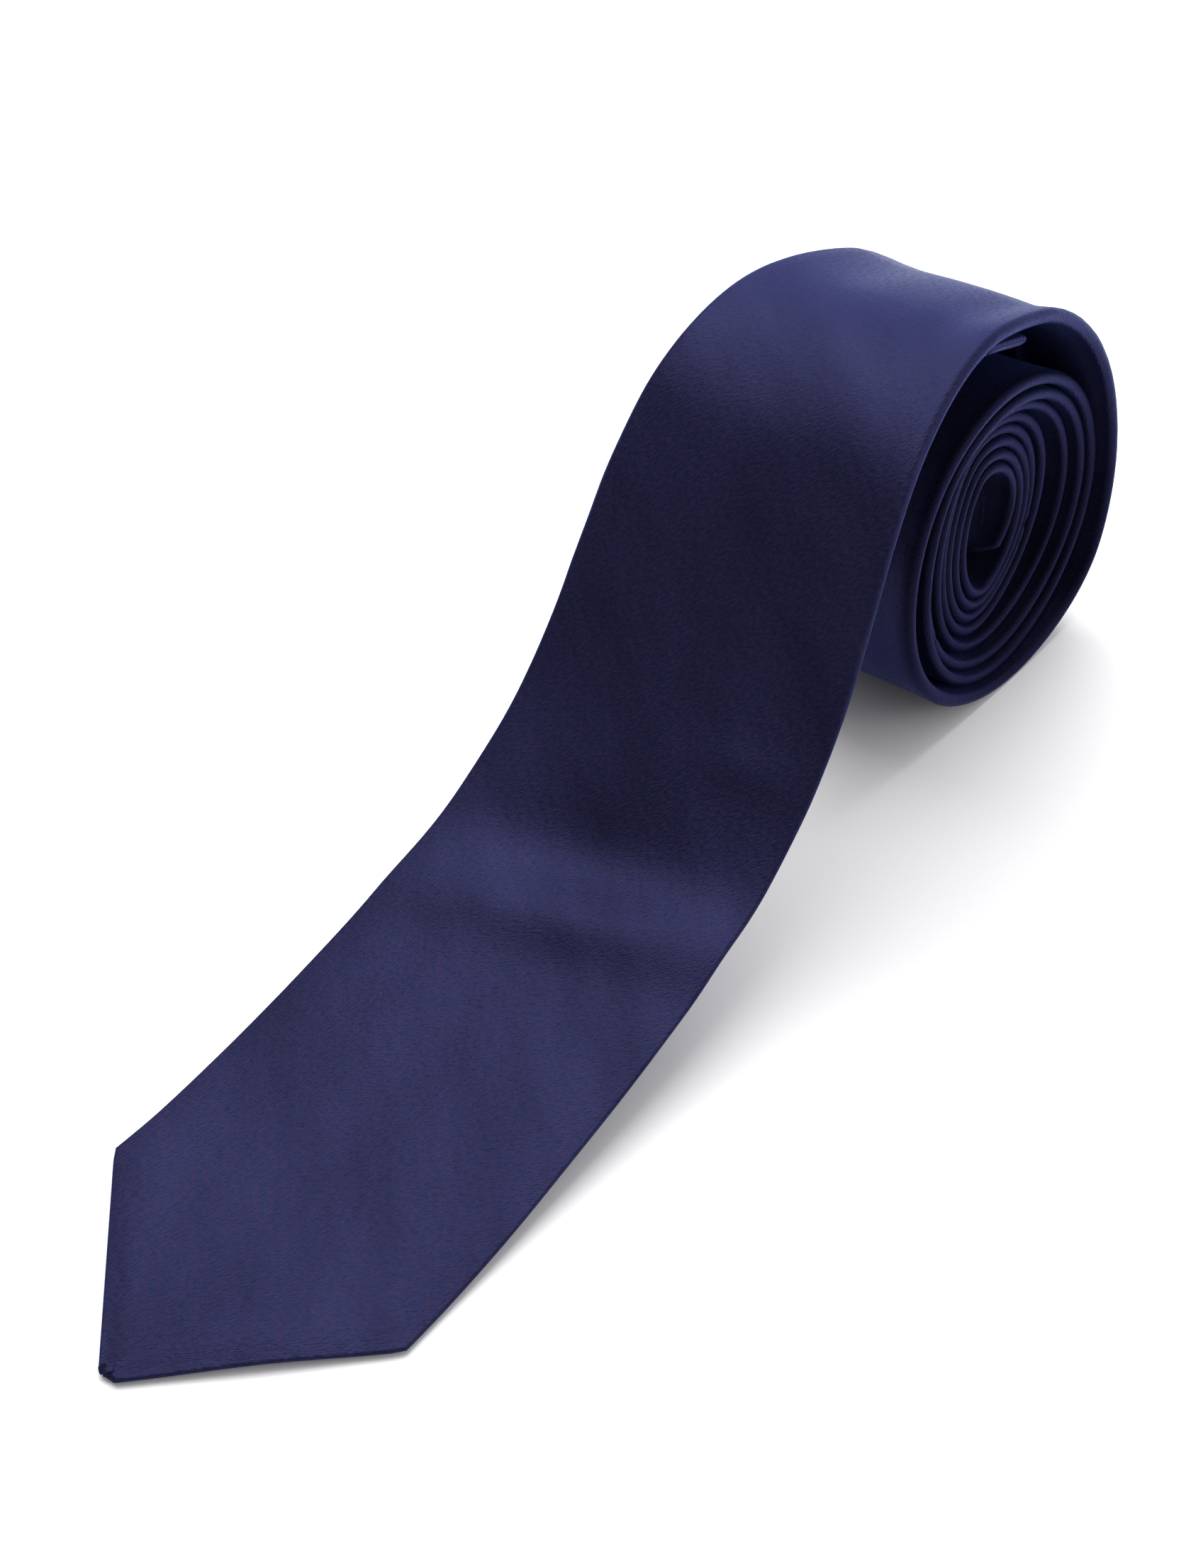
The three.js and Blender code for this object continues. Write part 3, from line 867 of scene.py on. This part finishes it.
@dataclass
class Shell:
    """The folded satin strip, in the three lengths that its piecing seams join.

    Its folded edges are thicker or thinner than its middle by twice `edge_swell`, given by distance.
    Shade is painted onto the roll's edges past `rub_start`, within `rub_width` of the fold, darkening their
    colour.
    """

    line: TieLine
    bend: LiftBend
    wall: float = 0.35
    thin_wall: float = 0.1
    wall_share: float = 0.42
    lip_share: float = 0.9
    front_piecing: float = 2.66
    tail_piecing: float = 5.3
    seam_gap: float = 0.12
    pinch: float = 0.34
    pinch_reach: float = 1.3
    edge_swell: tuple[tuple[float, float], ...] = (
        (0, -0.58), (28, -0.58), (90, -0.55), (140, -0.2),
        (190, 0.30), (420, 0.38), (520, 0.16), (900, 0.10),
    )
    swell_reach: float = 3.2
    roundest: float = 0.62
    waver: float = 0.12
    waver_rate: float = 0.045
    rub_start: float = 225.0
    rub_ramp: float = 40.0
    rub_width: float = 3.4
    rub_fade: float = 2.4
    end_length: float = 14.0
    flap_points: int = 7
    edge_points: int = 9
    front_points: int = 19
    flat_step: float = 1.7
    point_step: float = 0.9
    blade_rows_per_turn: int = 96
    neck_rows_per_turn: int = 84
    tail_rows_per_turn: int = 72

    @property
    def front_seam(self) -> float:
        """Distance from the point to the seam between the blade's cloth and the neck's."""
        return self.line.at_turn(self.front_piecing)

    @property
    def tail_seam(self) -> float:
        """Distance from the point to the seam between the neck's cloth and the tail's."""
        return self.line.at_turn(self.tail_piecing)

    def _pinched(self, s: float) -> float:
        """Returns how far the cloth dips into the nearest piecing seam at distance `s`."""
        near = min(abs(s - self.front_seam), abs(s - self.tail_seam))
        return self.pinch * max(0.0, 1 - near / self.pinch_reach) ** 2

    def outer(self, s: float) -> list[SectionPoint]:
        """Draws the folded cloth's outer face at distance `s`, from the right lip to the left lip."""
        line = self.line
        half = line.half_width(s) + self.waver * noise.noise(Vector((s * self.waver_rate, 3.1, 0)))
        pinched = self._pinched(s)
        thickest = half * self.roundest
        radius = min(line.half_thickness + interpolate(self.edge_swell, s), thickest) - pinched
        middle = min(line.half_thickness, thickest) - pinched
        edge = half - pinched - radius
        lip = min(line.back_opening(s), edge * self.lip_share)

        def face(x: float) -> float:
            """Half the thickness at `x` across: full at the rolled edge, pressed in the middle."""
            return middle + (radius - middle) * math.exp(-(((edge - abs(x)) / self.swell_reach) ** 2))

        flap = [lip + (edge - lip) * i / self.flap_points for i in range(self.flap_points)]
        points = [(x, -face(x)) for x in flap]
        for i in range(self.edge_points + 1):
            a = math.pi * (i / self.edge_points - 0.5)
            points.append((edge + radius * math.cos(a), radius * math.sin(a)))
        inner = [edge * (1 - 2 * i / (self.front_points + 1)) for i in range(1, self.front_points + 1)]
        front = [(x, face(x)) for x in inner]
        mirrored = [(-x, out) for x, out in reversed(points)]
        outline = points + front + mirrored
        run = [0.0]
        for (x0, o0), (x1, o1) in zip(outline, outline[1:]):
            run.append(run[-1] + math.hypot(x1 - x0, o1 - o0))
        return [(x, out, run[-1] / 2 - r) for (x, out), r in zip(outline, run)]

    def section(self, s: float) -> list[SectionPoint]:
        """Draws the cloth's whole section: its outer face, then back along its inner face."""
        outer = self.outer(s)
        inner = []
        for i, (x, out, cut) in enumerate(outer):
            x0, o0, _ = outer[max(i - 1, 0)]
            x1, o1, _ = outer[min(i + 1, len(outer) - 1)]
            length = math.hypot(x1 - x0, o1 - o0) or 1.0
            wall = min(self.wall, self.wall_share * abs(out) + self.thin_wall)
            inner.append((x - wall * (o1 - o0) / length, out + wall * (x1 - x0) / length, cut))
        return outer + inner[::-1]

    def rub(self, s: float, across: float) -> float:
        """Returns how strongly shade is painted onto the cloth at `s` and `across`: most on the roll's folded
        edges.
        """
        rolled = min(max((s - self.rub_start) / self.rub_ramp, 0.0), 1.0)
        to_edge = self.line.half_width(s) - abs(across)
        return rolled * min(max((self.rub_width - to_edge) / self.rub_fade, 0.0), 1.0)

    def _length_of_cloth(
        self, name: str, stations: list[float], nodes: Sequence[str], body: Body | None
    ) -> None:
        """Args:
            name: the piece's name.
            stations: the distances along it of its rows of points.
            nodes: the CAD nodes that it replaces.
            body: the body it rides on, or None for the length that bends between both.
        """
        piece = sweep(self.line, name, stations, self.section, folded=True, rub=self.rub)
        dress(piece, SATIN, nodes, body)
        if body is None:
            self.bend.apply(piece, self.line)
        (width, length), area = cut_size([2 * self.outer(s)[0][2] for s in stations], stations)
        log.info("%s is cut from %.0f x %.0f mm of satin", name, width / MM, length / MM)

    def build(self) -> None:
        """Makes the blade's, the neck's and the tail's cloth."""
        line = self.line
        start = line.at_turn(line.roll_start)
        tip = [0.25, 0.6, 1.1, 1.8, 2.6, 3.6]
        corner = [line.blade_half_width + d for d in (-1.1, -0.5, 0.0, 0.5, 1.1)]
        flat = spaced(0, start, self.flat_step, tip + corner)
        rolled = roll_stations(line, start, self.front_seam - self.seam_gap, self.blade_rows_per_turn)
        near_seam = [self.front_seam - d for d in (1.0, 0.6, 0.35)]
        blade = sorted({round(s, 4) for s in flat[:-1] + rolled + near_seam})
        self._length_of_cloth("blade_cloth", blade, ["blade_shell_free", "blade_shell_rolled"], None)
        neck_start = self.front_seam + self.seam_gap
        neck = roll_stations(line, neck_start, self.tail_seam - self.seam_gap, self.neck_rows_per_turn)
        neck = sorted({round(s, 4) for s in neck + [self.front_seam + 0.35, self.front_seam + 0.6]})
        self._length_of_cloth("neck_cloth", neck, ["neck_shell"], Body.ROLL)
        end_start = line.length - self.end_length
        tail_start = self.tail_seam + self.seam_gap
        tail = roll_stations(line, tail_start, end_start, self.tail_rows_per_turn)
        near_point = [line.length - d for d in (line.tail_half_width, 2.6, 1.8, 1.1, 0.6, 0.25)]
        point = spaced(end_start, line.length, self.point_step, near_point)
        self._length_of_cloth("tail_cloth", tail[:-1] + point, ["tail_shell"], Body.ROLL)


@dataclass
class PiecingSeam:
    """The row of machine stitches that joins two lengths of the shell."""

    shell: Shell
    name: str
    node: str
    at: float
    pitch: float = 1.5
    stitch: float = 0.5
    radius: float = 0.07
    sunk_end: float = 0.12
    proud_middle: float = 0.02

    def build(self) -> None:
        """Sews a short stitch over the seam at even steps round the folded cloth."""
        line = self.shell.line
        bm = bmesh.new()
        bend = self.stitch * 0.6
        arch = (
            (-self.stitch, self.sunk_end), (-bend, 0.0), (0.0, -self.proud_middle),
            (bend, 0.0), (self.stitch, self.sunk_end),
        )
        outline = self.shell.outer(self.at)
        edge = outline[0][2]
        count = int(2 * edge / self.pitch)
        for i in range(count):
            want = edge - self.pitch * (i + 0.5)
            k = next(j for j in range(len(outline) - 1) if outline[j + 1][2] <= want)
            (x0, o0, c0), (x1, o1, c1) = outline[k], outline[k + 1]
            f = (want - c0) / (c1 - c0)
            x, out = x0 + (x1 - x0) * f, o0 + (o1 - o0) * f
            path = [line.place(self.at + d, x, out * (1 - sink)) for d, sink in arch]
            add_thread(bm, path, self.radius * MM)
        dress(finish_piece(bm, self.name), THREAD, [self.node], Body.ROLL)


@dataclass
class Interlining:
    """The brushed wool strips that fill the shell.

    `clear` is how far their edges stay inside the shell's, by distance. The tail's strip takes over from
    the blade's after `join` turns.
    """

    line: TieLine
    bend: LiftBend
    thickness: float = 0.7
    clear: tuple[tuple[float, float], ...] = ((0, 3.2), (100, 2.8), (150, 1.3), (1500, 1.15))
    join: float = 4.1
    join_gap: float = 0.15
    start: float = 8.0
    end_gap: float = 3.0
    least_half: float = 0.35
    unevenness: float = 0.05

    def half(self, s: float) -> float:
        """Returns half the strip's width at distance `s`."""
        return max(self.line.half_width(s) - interpolate(self.clear, s), self.least_half)

    def section(self, s: float) -> list[SectionPoint]:
        """Draws the strip's section at distance `s`, with its edges rounded."""
        half = self.half(s)
        t = self.thickness / 2 + self.unevenness * noise.noise(Vector((s * 0.3, 0, 9)))
        steps = [-1.0, -0.97, -0.8, -0.5, -0.2, 0.2, 0.5, 0.8, 0.97, 1.0]
        top = [(half * k, t * (0.5 if abs(k) == 1 else 1.0), half * k) for k in reversed(steps)]
        bottom = [(x, -out, cut) for x, out, cut in reversed(top)]
        return top + bottom

    def _strip(self, name: str, stations: list[float], nodes: Sequence[str], body: Body | None) -> None:
        """Args:
            name: the piece's name.
            stations: the distances along it of its rows of points.
            nodes: the CAD nodes that it replaces.
            body: the body it rides on, or None for the strip that bends between both.
        """
        piece = sweep(self.line, name, stations, self.section, folded=True)
        dress(piece, WOOL, nodes, body)
        if body is None:
            self.bend.apply(piece, self.line)
        flat, area = cut_size([2 * self.half(s) for s in stations], stations)

    def build(self) -> None:
        """Makes the blade's strip and the tail's."""
        line = self.line
        top = line.at_turn(line.roll_start)
        join = line.at_turn(self.join)
        corner = [line.blade_half_width + d for d in (-0.5, 0.5)]
        blade = spaced(self.start, top, 3.0, corner)[:-1] + roll_stations(line, top, join - self.join_gap, 60)
        self._strip("blade_interlining", blade, ["interlining_free", "interlining_rolled"], None)
        tail = roll_stations(line, join + self.join_gap, line.length - self.end_gap, 60)
        self._strip("tail_interlining", tail, ["interlining_tail"], Body.ROLL)


@dataclass
class Tipping:
    """The lining cloth that backs one point, its sides tucked under the shell's flaps."""

    line: TieLine
    name: str
    node: str
    body: Body
    start: float
    end: float
    tuck: float = 1.6
    edge_clear: float = 1.4
    depth: float = 0.62
    drop: float = 0.12
    full_drop_half: float = 6.0
    thickness: float = 0.2

    def half(self, s: float) -> float:
        """Returns half the lining's width at distance `s`."""
        return min(self.line.back_opening(s) + self.tuck, self.line.half_width(s) - self.edge_clear)

    def section(self, s: float) -> list[SectionPoint]:
        """Draws the lining's section at distance `s`, dropping a little between the flaps."""
        half = self.half(s)
        steps = [-1.0, -0.86, -0.6, -0.3, 0.0, 0.3, 0.6, 0.86, 1.0]
        low = []
        for k in steps:
            drop = self.drop * (1 - k * k) * min(1.0, half / self.full_drop_half)
            low.append((half * k, -(self.depth + drop), half * k))
        high = [(x, out + self.thickness, cut) for x, out, cut in reversed(low)]
        return low + high

    def build(self) -> None:
        stations = spaced(self.start, self.end, 1.5)
        piece = sweep(self.line, self.name, stations, self.section, folded=True)
        dress(piece, LINING, [self.node], self.body)
        flat, area = cut_size([2 * self.half(s) for s in stations], stations)


@dataclass
class SlipStitch:
    """The long hand stitch that draws the two back flaps together.

    One `stitch` is a short slant over the slit, then a run down inside it, as (along, across, out).
    """

    line: TieLine
    bend: LiftBend
    seam: float
    seam_gap: float = 0.5
    pitch: float = 8.5
    radius: float = 0.13
    run_depth: float = 0.34
    stitch: tuple[tuple[float, float, float], ...] = (
        (0.0, 0.0, 0.32), (0.7, -0.28, 0.12), (1.1, -0.40, -0.10),
        (1.7, 0.0, -0.16), (2.3, 0.40, -0.10), (2.7, 0.28, 0.12),
        (3.4, 0.0, 0.30), (5.0, 0.02, 0.34), (6.8, -0.02, 0.34),
    )

    def _path(self, start: float, end: float) -> list[Vector]:
        """Lays the thread, stitch after stitch, from one distance to another."""
        place = self.line.place
        top = -self.line.half_thickness
        points = []
        count = int((end - start) / self.pitch)
        for i in range(count):
            s = start + i * self.pitch
            points += [place(s + d, x, top + out) for d, x, out in self.stitch]
        points.append(place(end, 0.0, top + self.run_depth))
        return points

    def _run(self, name: str, start: float, end: float, nodes: Sequence[str], body: Body | None) -> None:
        """Makes one run of the stitch.

        Args:
            name: the piece's name.
            start: where it starts, along the tie.
            end: where it ends.
            nodes: the CAD nodes that it replaces.
            body: the body it rides on, or None for the run that bends between both.
        """
        bm = bmesh.new()
        add_thread(bm, self._path(start, end), self.radius * MM)
        piece = dress(finish_piece(bm, name), THREAD, nodes, body)
        if body is None:
            self.bend.apply(piece, self.line)

    def build(self) -> None:
        """Makes the run up the blade and the run on down the neck."""
        line = self.line
        blade_nodes = ["slip_stitch_free", "slip_stitch_rolled"]
        self._run("slip_stitch_blade", line.blade_tack + 1, self.seam - self.seam_gap, blade_nodes, None)
        end = line.length - line.tail_tack_from_end - 1
        self._run("slip_stitch_tail", self.seam + self.seam_gap, end, ["slip_stitch_neck"], Body.ROLL)


@dataclass
class BarTack:
    """A short bar of close stitches across the end of the back seam."""

    line: TieLine
    name: str
    node: str
    body: Body
    at: float
    half_width: float
    height: float
    wraps: int = 9
    spread: float = 0.9
    radius: float = 0.13
    clear: float = 0.05

    def build(self) -> None:
        """Lays the stitches side by side, each arched over the seam."""
        top = -self.line.half_thickness
        bm = bmesh.new()
        path = []
        for i in range(self.wraps):
            s = self.at + self.spread * (i / (self.wraps - 1) - 0.5)
            side = 1 if i % 2 else -1
            for k in (-1.0, -0.7, -0.3, 0.0, 0.3, 0.7, 1.0):
                arch = (1 - k * k) * self.height
                path.append(self.line.place(s, side * k * self.half_width, top - arch - self.clear))
        add_thread(bm, path, self.radius * MM)
        dress(finish_piece(bm, self.name), THREAD, [self.node], self.body)


@dataclass
class PointKnob:
    """The small knob of folded cloth that stands out of a point."""

    line: TieLine
    name: str
    node: str
    body: Body
    at: float
    beyond: float
    size: tuple[float, float, float]
    lean: float = 0.0

    def build(self) -> None:
        """Shapes the knob: a ball, squashed, with the twist of the folded cloth in it."""
        out = self.line.out_of_front(self.at)
        centre = self.line.middle(self.at) + out * self.line.dent(self.at, 0.0)
        along = Vector((out.y, -out.x))
        bm = bmesh.new()
        layer = bm.verts.layers.float_vector.new(CUT_MAP)
        bmesh.ops.create_icosphere(bm, subdivisions=4, radius=1.0)
        for vertex in bm.verts:
            p = vertex.co.normalized()
            fold = 0.13 * math.sin(4 * math.atan2(p.z, p.x) + 5 * p.y) + 0.16 * noise.noise(p * 1.7)
            p = p * (1 + fold)
            x, y, z = (c * k for c, k in zip(p, self.size))
            place = centre + along * (self.beyond + y) + out * z
            vertex.co = (Vector((x + self.lean, place.x, place.y)) + self.line.shift) * MM
            vertex[layer] = Vector((p.x * self.size[0] + 40, p.y * self.size[1] + p.z, 0))
        piece = finish_piece(bm, self.name)
        dress(piece, SATIN, [self.node], self.body)


@dataclass
class StitchRow:
    """A row of long stitches that holds one end of the keeper, or one side of the label.

    `arch` is one stitch, as (along, out), and `low` is the height of the face that it lies on.
    """

    line: TieLine
    name: str
    node: str
    body: Body
    at: float
    across: float
    low: float
    arch: tuple[tuple[float, float], ...]
    radius: float
    count: int = 6
    pitch: float = 2.0

    def build(self) -> None:
        """Sews the stitches, centred on the row's middle."""
        bm = bmesh.new()
        for i in range(self.count):
            s = self.at + self.pitch * (i - (self.count - 1) / 2)
            path = [self.line.place(s + d, self.across, self.low + out) for d, out in self.arch]
            add_thread(bm, path, self.radius * MM)
        dress(finish_piece(bm, self.name), THREAD, [self.node], self.body)


@dataclass
class Keeper:
    """The folded band across the back that holds the tail, and the tacks at its two ends.

    Its section is a rounded bar, squarer along the tie than through its thickness, as its two
    `squareness` exponents say, and thinned to `thin_end` where its ends are folded under.
    """

    line: TieLine
    at: float = 227.0
    length: float = 15.0
    thickness: float = 2.2
    inset: float = 3.0
    gap: float = 2.0
    rounding: float = 1.1
    thin_end: float = 0.18
    squareness: tuple[float, float] = (0.28, 0.62)
    drawn_in: float = 0.7
    ring_points: int = 28
    tack_inset: float = 1.6
    tack_arch: tuple[tuple[float, float], ...] = (
        (-0.7, 0.10), (-0.45, -0.12), (0.0, -0.2), (0.45, -0.12), (0.7, 0.10),
    )

    @property
    def half(self) -> float:
        """Half the band's size across the tie."""
        return self.line.half_width(self.at) - self.inset

    def _ring(self, across: float) -> list[tuple[float, float, float]]:
        """Draws the band's section at `across`: (distance along, out, place on the cloth)."""
        to_end = self.half - abs(across)
        swell = math.sqrt(max(0.0, 1 - (1 - min(to_end / self.rounding, 1.0)) ** 2))
        t = self.thickness / 2 * (self.thin_end + (1 - self.thin_end) * swell)
        run = self.length / 2 - self.drawn_in * (1 - swell)
        low = -self.line.half_thickness - self.gap - self.thickness / 2
        points = []
        for i in range(self.ring_points):
            a = 2 * math.pi * i / self.ring_points
            ca, sa = math.cos(a), math.sin(a)
            along = run * math.copysign(abs(ca) ** self.squareness[0], ca)
            out = t * math.copysign(abs(sa) ** self.squareness[1], sa)
            points.append((self.at + along, low + out, a * self.length / math.pi))
        return points

    def build(self) -> None:
        """Makes the band and its tacks."""
        bm = bmesh.new()
        layer = bm.verts.layers.float_vector.new(CUT_MAP)
        ends = [0.0, 0.06, 0.2, 0.45, 0.8, 1.2, 2.0]
        left = [-self.half + e for e in ends]
        middle = [-self.half + 2 + (2 * self.half - 4) * i / 24 for i in range(1, 24)]
        across = left + middle + [-x for x in reversed(left)]
        ring = first_ring(bm, self.ring_points)
        start = ring
        for row, x in enumerate(across):
            if row:
                ring = extend(bm, ring)
            for vertex, (s, out, cut) in zip(ring, self._ring(x)):
                vertex.co = self.line.place(s, x, out)
                vertex[layer] = Vector((x + 80, cut, 0))
        close_end(bm, start, False)
        close_end(bm, ring, False)
        piece = finish_piece(bm, "keeper_band")
        dress(piece, SATIN, ["keeper_loop"], Body.ROLL)
        flat = (2 * self.half * MM, self.length * MM)
        low = -self.line.half_thickness - self.gap - self.thickness
        for side, name in ((-1, "left"), (1, "right")):
            StitchRow(
                self.line, f"keeper_tack_{name}_thread", f"keeper_tack_{name}", Body.ROLL,
                at=self.at, across=side * (self.half - self.tack_inset), low=low,
                arch=self.tack_arch, radius=0.14,
            ).build()


@dataclass
class CareLabel:
    """A blank woven tape on the blade's back, with a row of stitches down each side."""

    line: TieLine
    at: float = 160.0
    length: float = 14.0
    half_width: float = 9.0
    thickness: float = 0.35
    clear: float = 0.3
    turned_in: float = 1.5
    row_inset: float = 1.2
    row_arch: tuple[tuple[float, float], ...] = (
        (-0.7, 0.12), (-0.4, -0.02), (0.0, -0.06), (0.4, -0.02), (0.7, 0.12),
    )

    def section(self, s: float) -> list[SectionPoint]:
        """Draws the tape's section at distance `s`, a little thicker along its turned-in ends."""
        end = max(0.0, 1 - (self.length / 2 - abs(s - self.at)) / self.turned_in)
        high = -self.line.half_thickness - self.clear * 0.5
        low = high - self.thickness * (0.75 + 0.25 * end)
        steps = [-1.0, -0.75, -0.5, -0.25, 0.0, 0.25, 0.5, 0.75, 1.0]
        bottom = [(self.half_width * k, low, self.half_width * k) for k in steps]
        top = [(x, high, cut) for x, _, cut in reversed(bottom)]
        return bottom + top

    def build(self) -> None:
        """Makes the tape and its two rows of stitches."""
        half = self.length / 2
        stations = spaced(self.at - half, self.at + half, 0.8)
        piece = sweep(self.line, "blank_care_label", stations, self.section, folded=True)
        dress(piece, TAPE, ["care_label"], Body.BLADE)
        low = -self.line.half_thickness - self.clear * 0.5 - self.thickness
        for side, name in ((-1, "left"), (1, "right")):
            StitchRow(
                self.line, f"label_stitch_row_{name}", f"label_stitches_{name}", Body.BLADE,
                at=self.at, across=side * (self.half_width - self.row_inset), low=low,
                arch=self.row_arch, radius=0.11,
            ).build()


# ---- studio -----------------------------------------------------------------------------------


@dataclass
class SoftBox:
    """A square area light that points at the tie."""

    name: str
    place: tuple[float, float, float]
    aim: tuple[float, float, float]
    size: float
    power: float
    colour: Colour = (1.0, 1.0, 1.0)

    def build(self) -> None:
        """Hangs the light."""
        data = bpy.data.lights.new(self.name, "AREA")
        data.size = self.size
        data.energy = self.power
        data.color = self.colour
        lamp = bpy.data.objects.new(self.name, data)
        back = (Vector(self.place) - Vector(self.aim)).normalized()
        lamp.matrix_world = Matrix.Translation(self.place) @ back.to_track_quat("Z", "Y").to_matrix().to_4x4()
        bpy.context.scene.collection.objects.link(lamp)


@dataclass
class Studio:
    """The pale floor, the soft lights and the camera."""

    line: TieLine
    azimuth: float = math.radians(36.88)
    elevation: float = math.radians(38.30)
    tilt: float = math.radians(0.76)
    target: tuple[float, float] = (-26.54, 139.81)
    distance: float = 359.1
    lens: float = 45.26365
    sensor: float = 36.0
    floor_drop: float = 0.02
    floor_colour: Colour = (0.92, 0.918, 0.915)
    floor_glow: Colour = (1.0, 0.985, 0.985)
    glow_strength: float = 0.01
    room_colour: Colour = (0.97, 0.965, 1.0)
    bright_side: tuple[float, float, float] = (-0.12, 0.80, 0.58)
    room_dark: float = 0.08
    room_bright: float = 0.88
    lights: tuple[SoftBox, ...] = (
        SoftBox("overhead", (-0.5, 0.42, 1.2), (-0.5, 0.42, 0.0), 1.4, 26.0),
        SoftBox("right_fill", (1.4, 0.5, 0.5), (0.0, 0.05, 0.04), 0.8, 6.0),
        SoftBox("rear_left", (-0.8, 1.25, 0.60), (0.0, 0.0, 0.05), 1.1, 3.0, (0.75, 0.87, 1.0)),
    )

    def _camera(self) -> None:
        """Sets up the camera."""
        data = bpy.data.cameras.new("camera")
        data.sensor_fit = "AUTO"
        data.sensor_width = self.sensor
        data.lens = self.lens
        data.clip_start = 0.01
        data.clip_end = 50.0
        ca, sa = math.cos(self.azimuth), math.sin(self.azimuth)
        ce, se = math.cos(self.elevation), math.sin(self.elevation)
        back = Vector((sa * ce, -ca * ce, se))
        right = Vector((ca, sa, 0))
        up = back.cross(right)
        right_t = right * math.cos(self.tilt) + up * math.sin(self.tilt)
        up_t = back.cross(right_t)
        aim = (Vector((self.target[0], self.target[1], 0)) + self.line.shift) * MM
        camera = bpy.data.objects.new("camera", data)
        turn = Matrix((right_t, up_t, back)).transposed().to_4x4()
        camera.matrix_world = Matrix.Translation(aim + back * self.distance * MM) @ turn
        bpy.context.scene.collection.objects.link(camera)
        bpy.context.scene.camera = camera

    def _floor(self) -> None:
        """Lays the floor."""
        bm = bmesh.new()
        bmesh.ops.create_grid(bm, x_segments=4, y_segments=4, size=4.0)
        bmesh.ops.translate(bm, verts=bm.verts, vec=(0, 0, -self.floor_drop * MM))
        floor = finish_piece(bm, "floor", smooth=False)
        material = bpy.data.materials.new("pale_paper")
        material.use_nodes = True
        surface = material.node_tree.nodes["Principled BSDF"]
        for socket, value in (
            ("Base Color", rgba(self.floor_colour)), ("Roughness", 0.9), ("Specular IOR Level", 0.1),
            ("Emission Color", rgba(self.floor_glow)), ("Emission Strength", self.glow_strength),
        ):
            surface.inputs[socket].default_value = value
        floor.data.materials.append(material)
        floor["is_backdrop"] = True

    def _sky(self) -> None:
        """Lights the room a little from all round."""
        world = bpy.data.worlds.new("room")
        world.use_nodes = True
        sh = Shader(world.node_tree)
        backdrop = world.node_tree.nodes["Background"]
        direction = sh.add("TexCoord").outputs["Generated"]
        towards = sh.add("VectorMath", {0: direction, 1: self.bright_side}, operation="DOT_PRODUCT")
        level = sh.add("MapRange", {
            "Value": towards.outputs["Value"], "From Min": -0.9, "From Max": 0.9,
            "To Min": self.room_dark, "To Max": self.room_bright,
        }, interpolation_type="SMOOTHSTEP")
        backdrop.inputs["Color"].default_value = rgba(self.room_colour)
        world.node_tree.links.new(level.outputs[0], backdrop.inputs["Strength"])
        bpy.context.scene.world = world

    def build(self) -> None:
        """Sets up the whole studio."""
        self._camera()
        self._floor()
        self._sky()
        for light in self.lights:
            light.build()
        bpy.context.scene.view_settings.view_transform = "Standard"


def main() -> None:
    """Builds the tie, piece by piece, then the studio."""
    logging.basicConfig(level=logging.INFO, format="%(message)s")
    line = TieLine()
    bend = LiftBend()
    log.info("the tie is %.0f mm long", line.length)
    Studio(line).build()
    shell = Shell(line, bend)
    shell.build()
    PiecingSeam(shell, "front_piecing_seam", "front_piecing_stitches", shell.front_seam).build()
    PiecingSeam(shell, "tail_piecing_seam", "tail_piecing_stitches", shell.tail_seam).build()
    Interlining(line, bend).build()
    blade, roll = Body.BLADE, Body.ROLL
    front_tack = line.blade_tack
    tail_tack = line.length - line.tail_tack_from_end
    Tipping(line, "front_tipping_cloth", "front_tipping", blade, 4.5, front_tack - 1.5).build()
    Tipping(line, "tail_tipping_cloth", "tail_tipping", roll, tail_tack + 7, line.length - 6.5).build()
    SlipStitch(line, bend, shell.front_seam).build()
    BarTack(
        line, "front_bar_tack_thread", "front_bar_tack", blade,
        at=front_tack - 2.5, half_width=3.3, height=0.4,
    ).build()
    BarTack(
        line, "tail_bar_tack_thread", "tail_bar_tack", roll,
        at=tail_tack + 2.2, half_width=0.9, height=0.03, radius=0.07,
    ).build()
    PointKnob(
        line, "front_point_knob", "front_tip_tack", blade,
        at=0.0, beyond=1.0, size=(1.35, 1.15, 0.9), lean=-0.5,
    ).build()
    PointKnob(
        line, "tail_point_knob", "tail_tip_tack", roll,
        at=line.length, beyond=-0.6, size=(0.9, 0.8, 0.75),
    ).build()
    Keeper(line).build()
    CareLabel(line).build()
    boxes = {"cad": CAD_BOX, "visual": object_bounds()}
    {name: [[float(c) for c in corner] for corner in box] for name, box in boxes.items()}


if __name__ == "__main__":
    main()
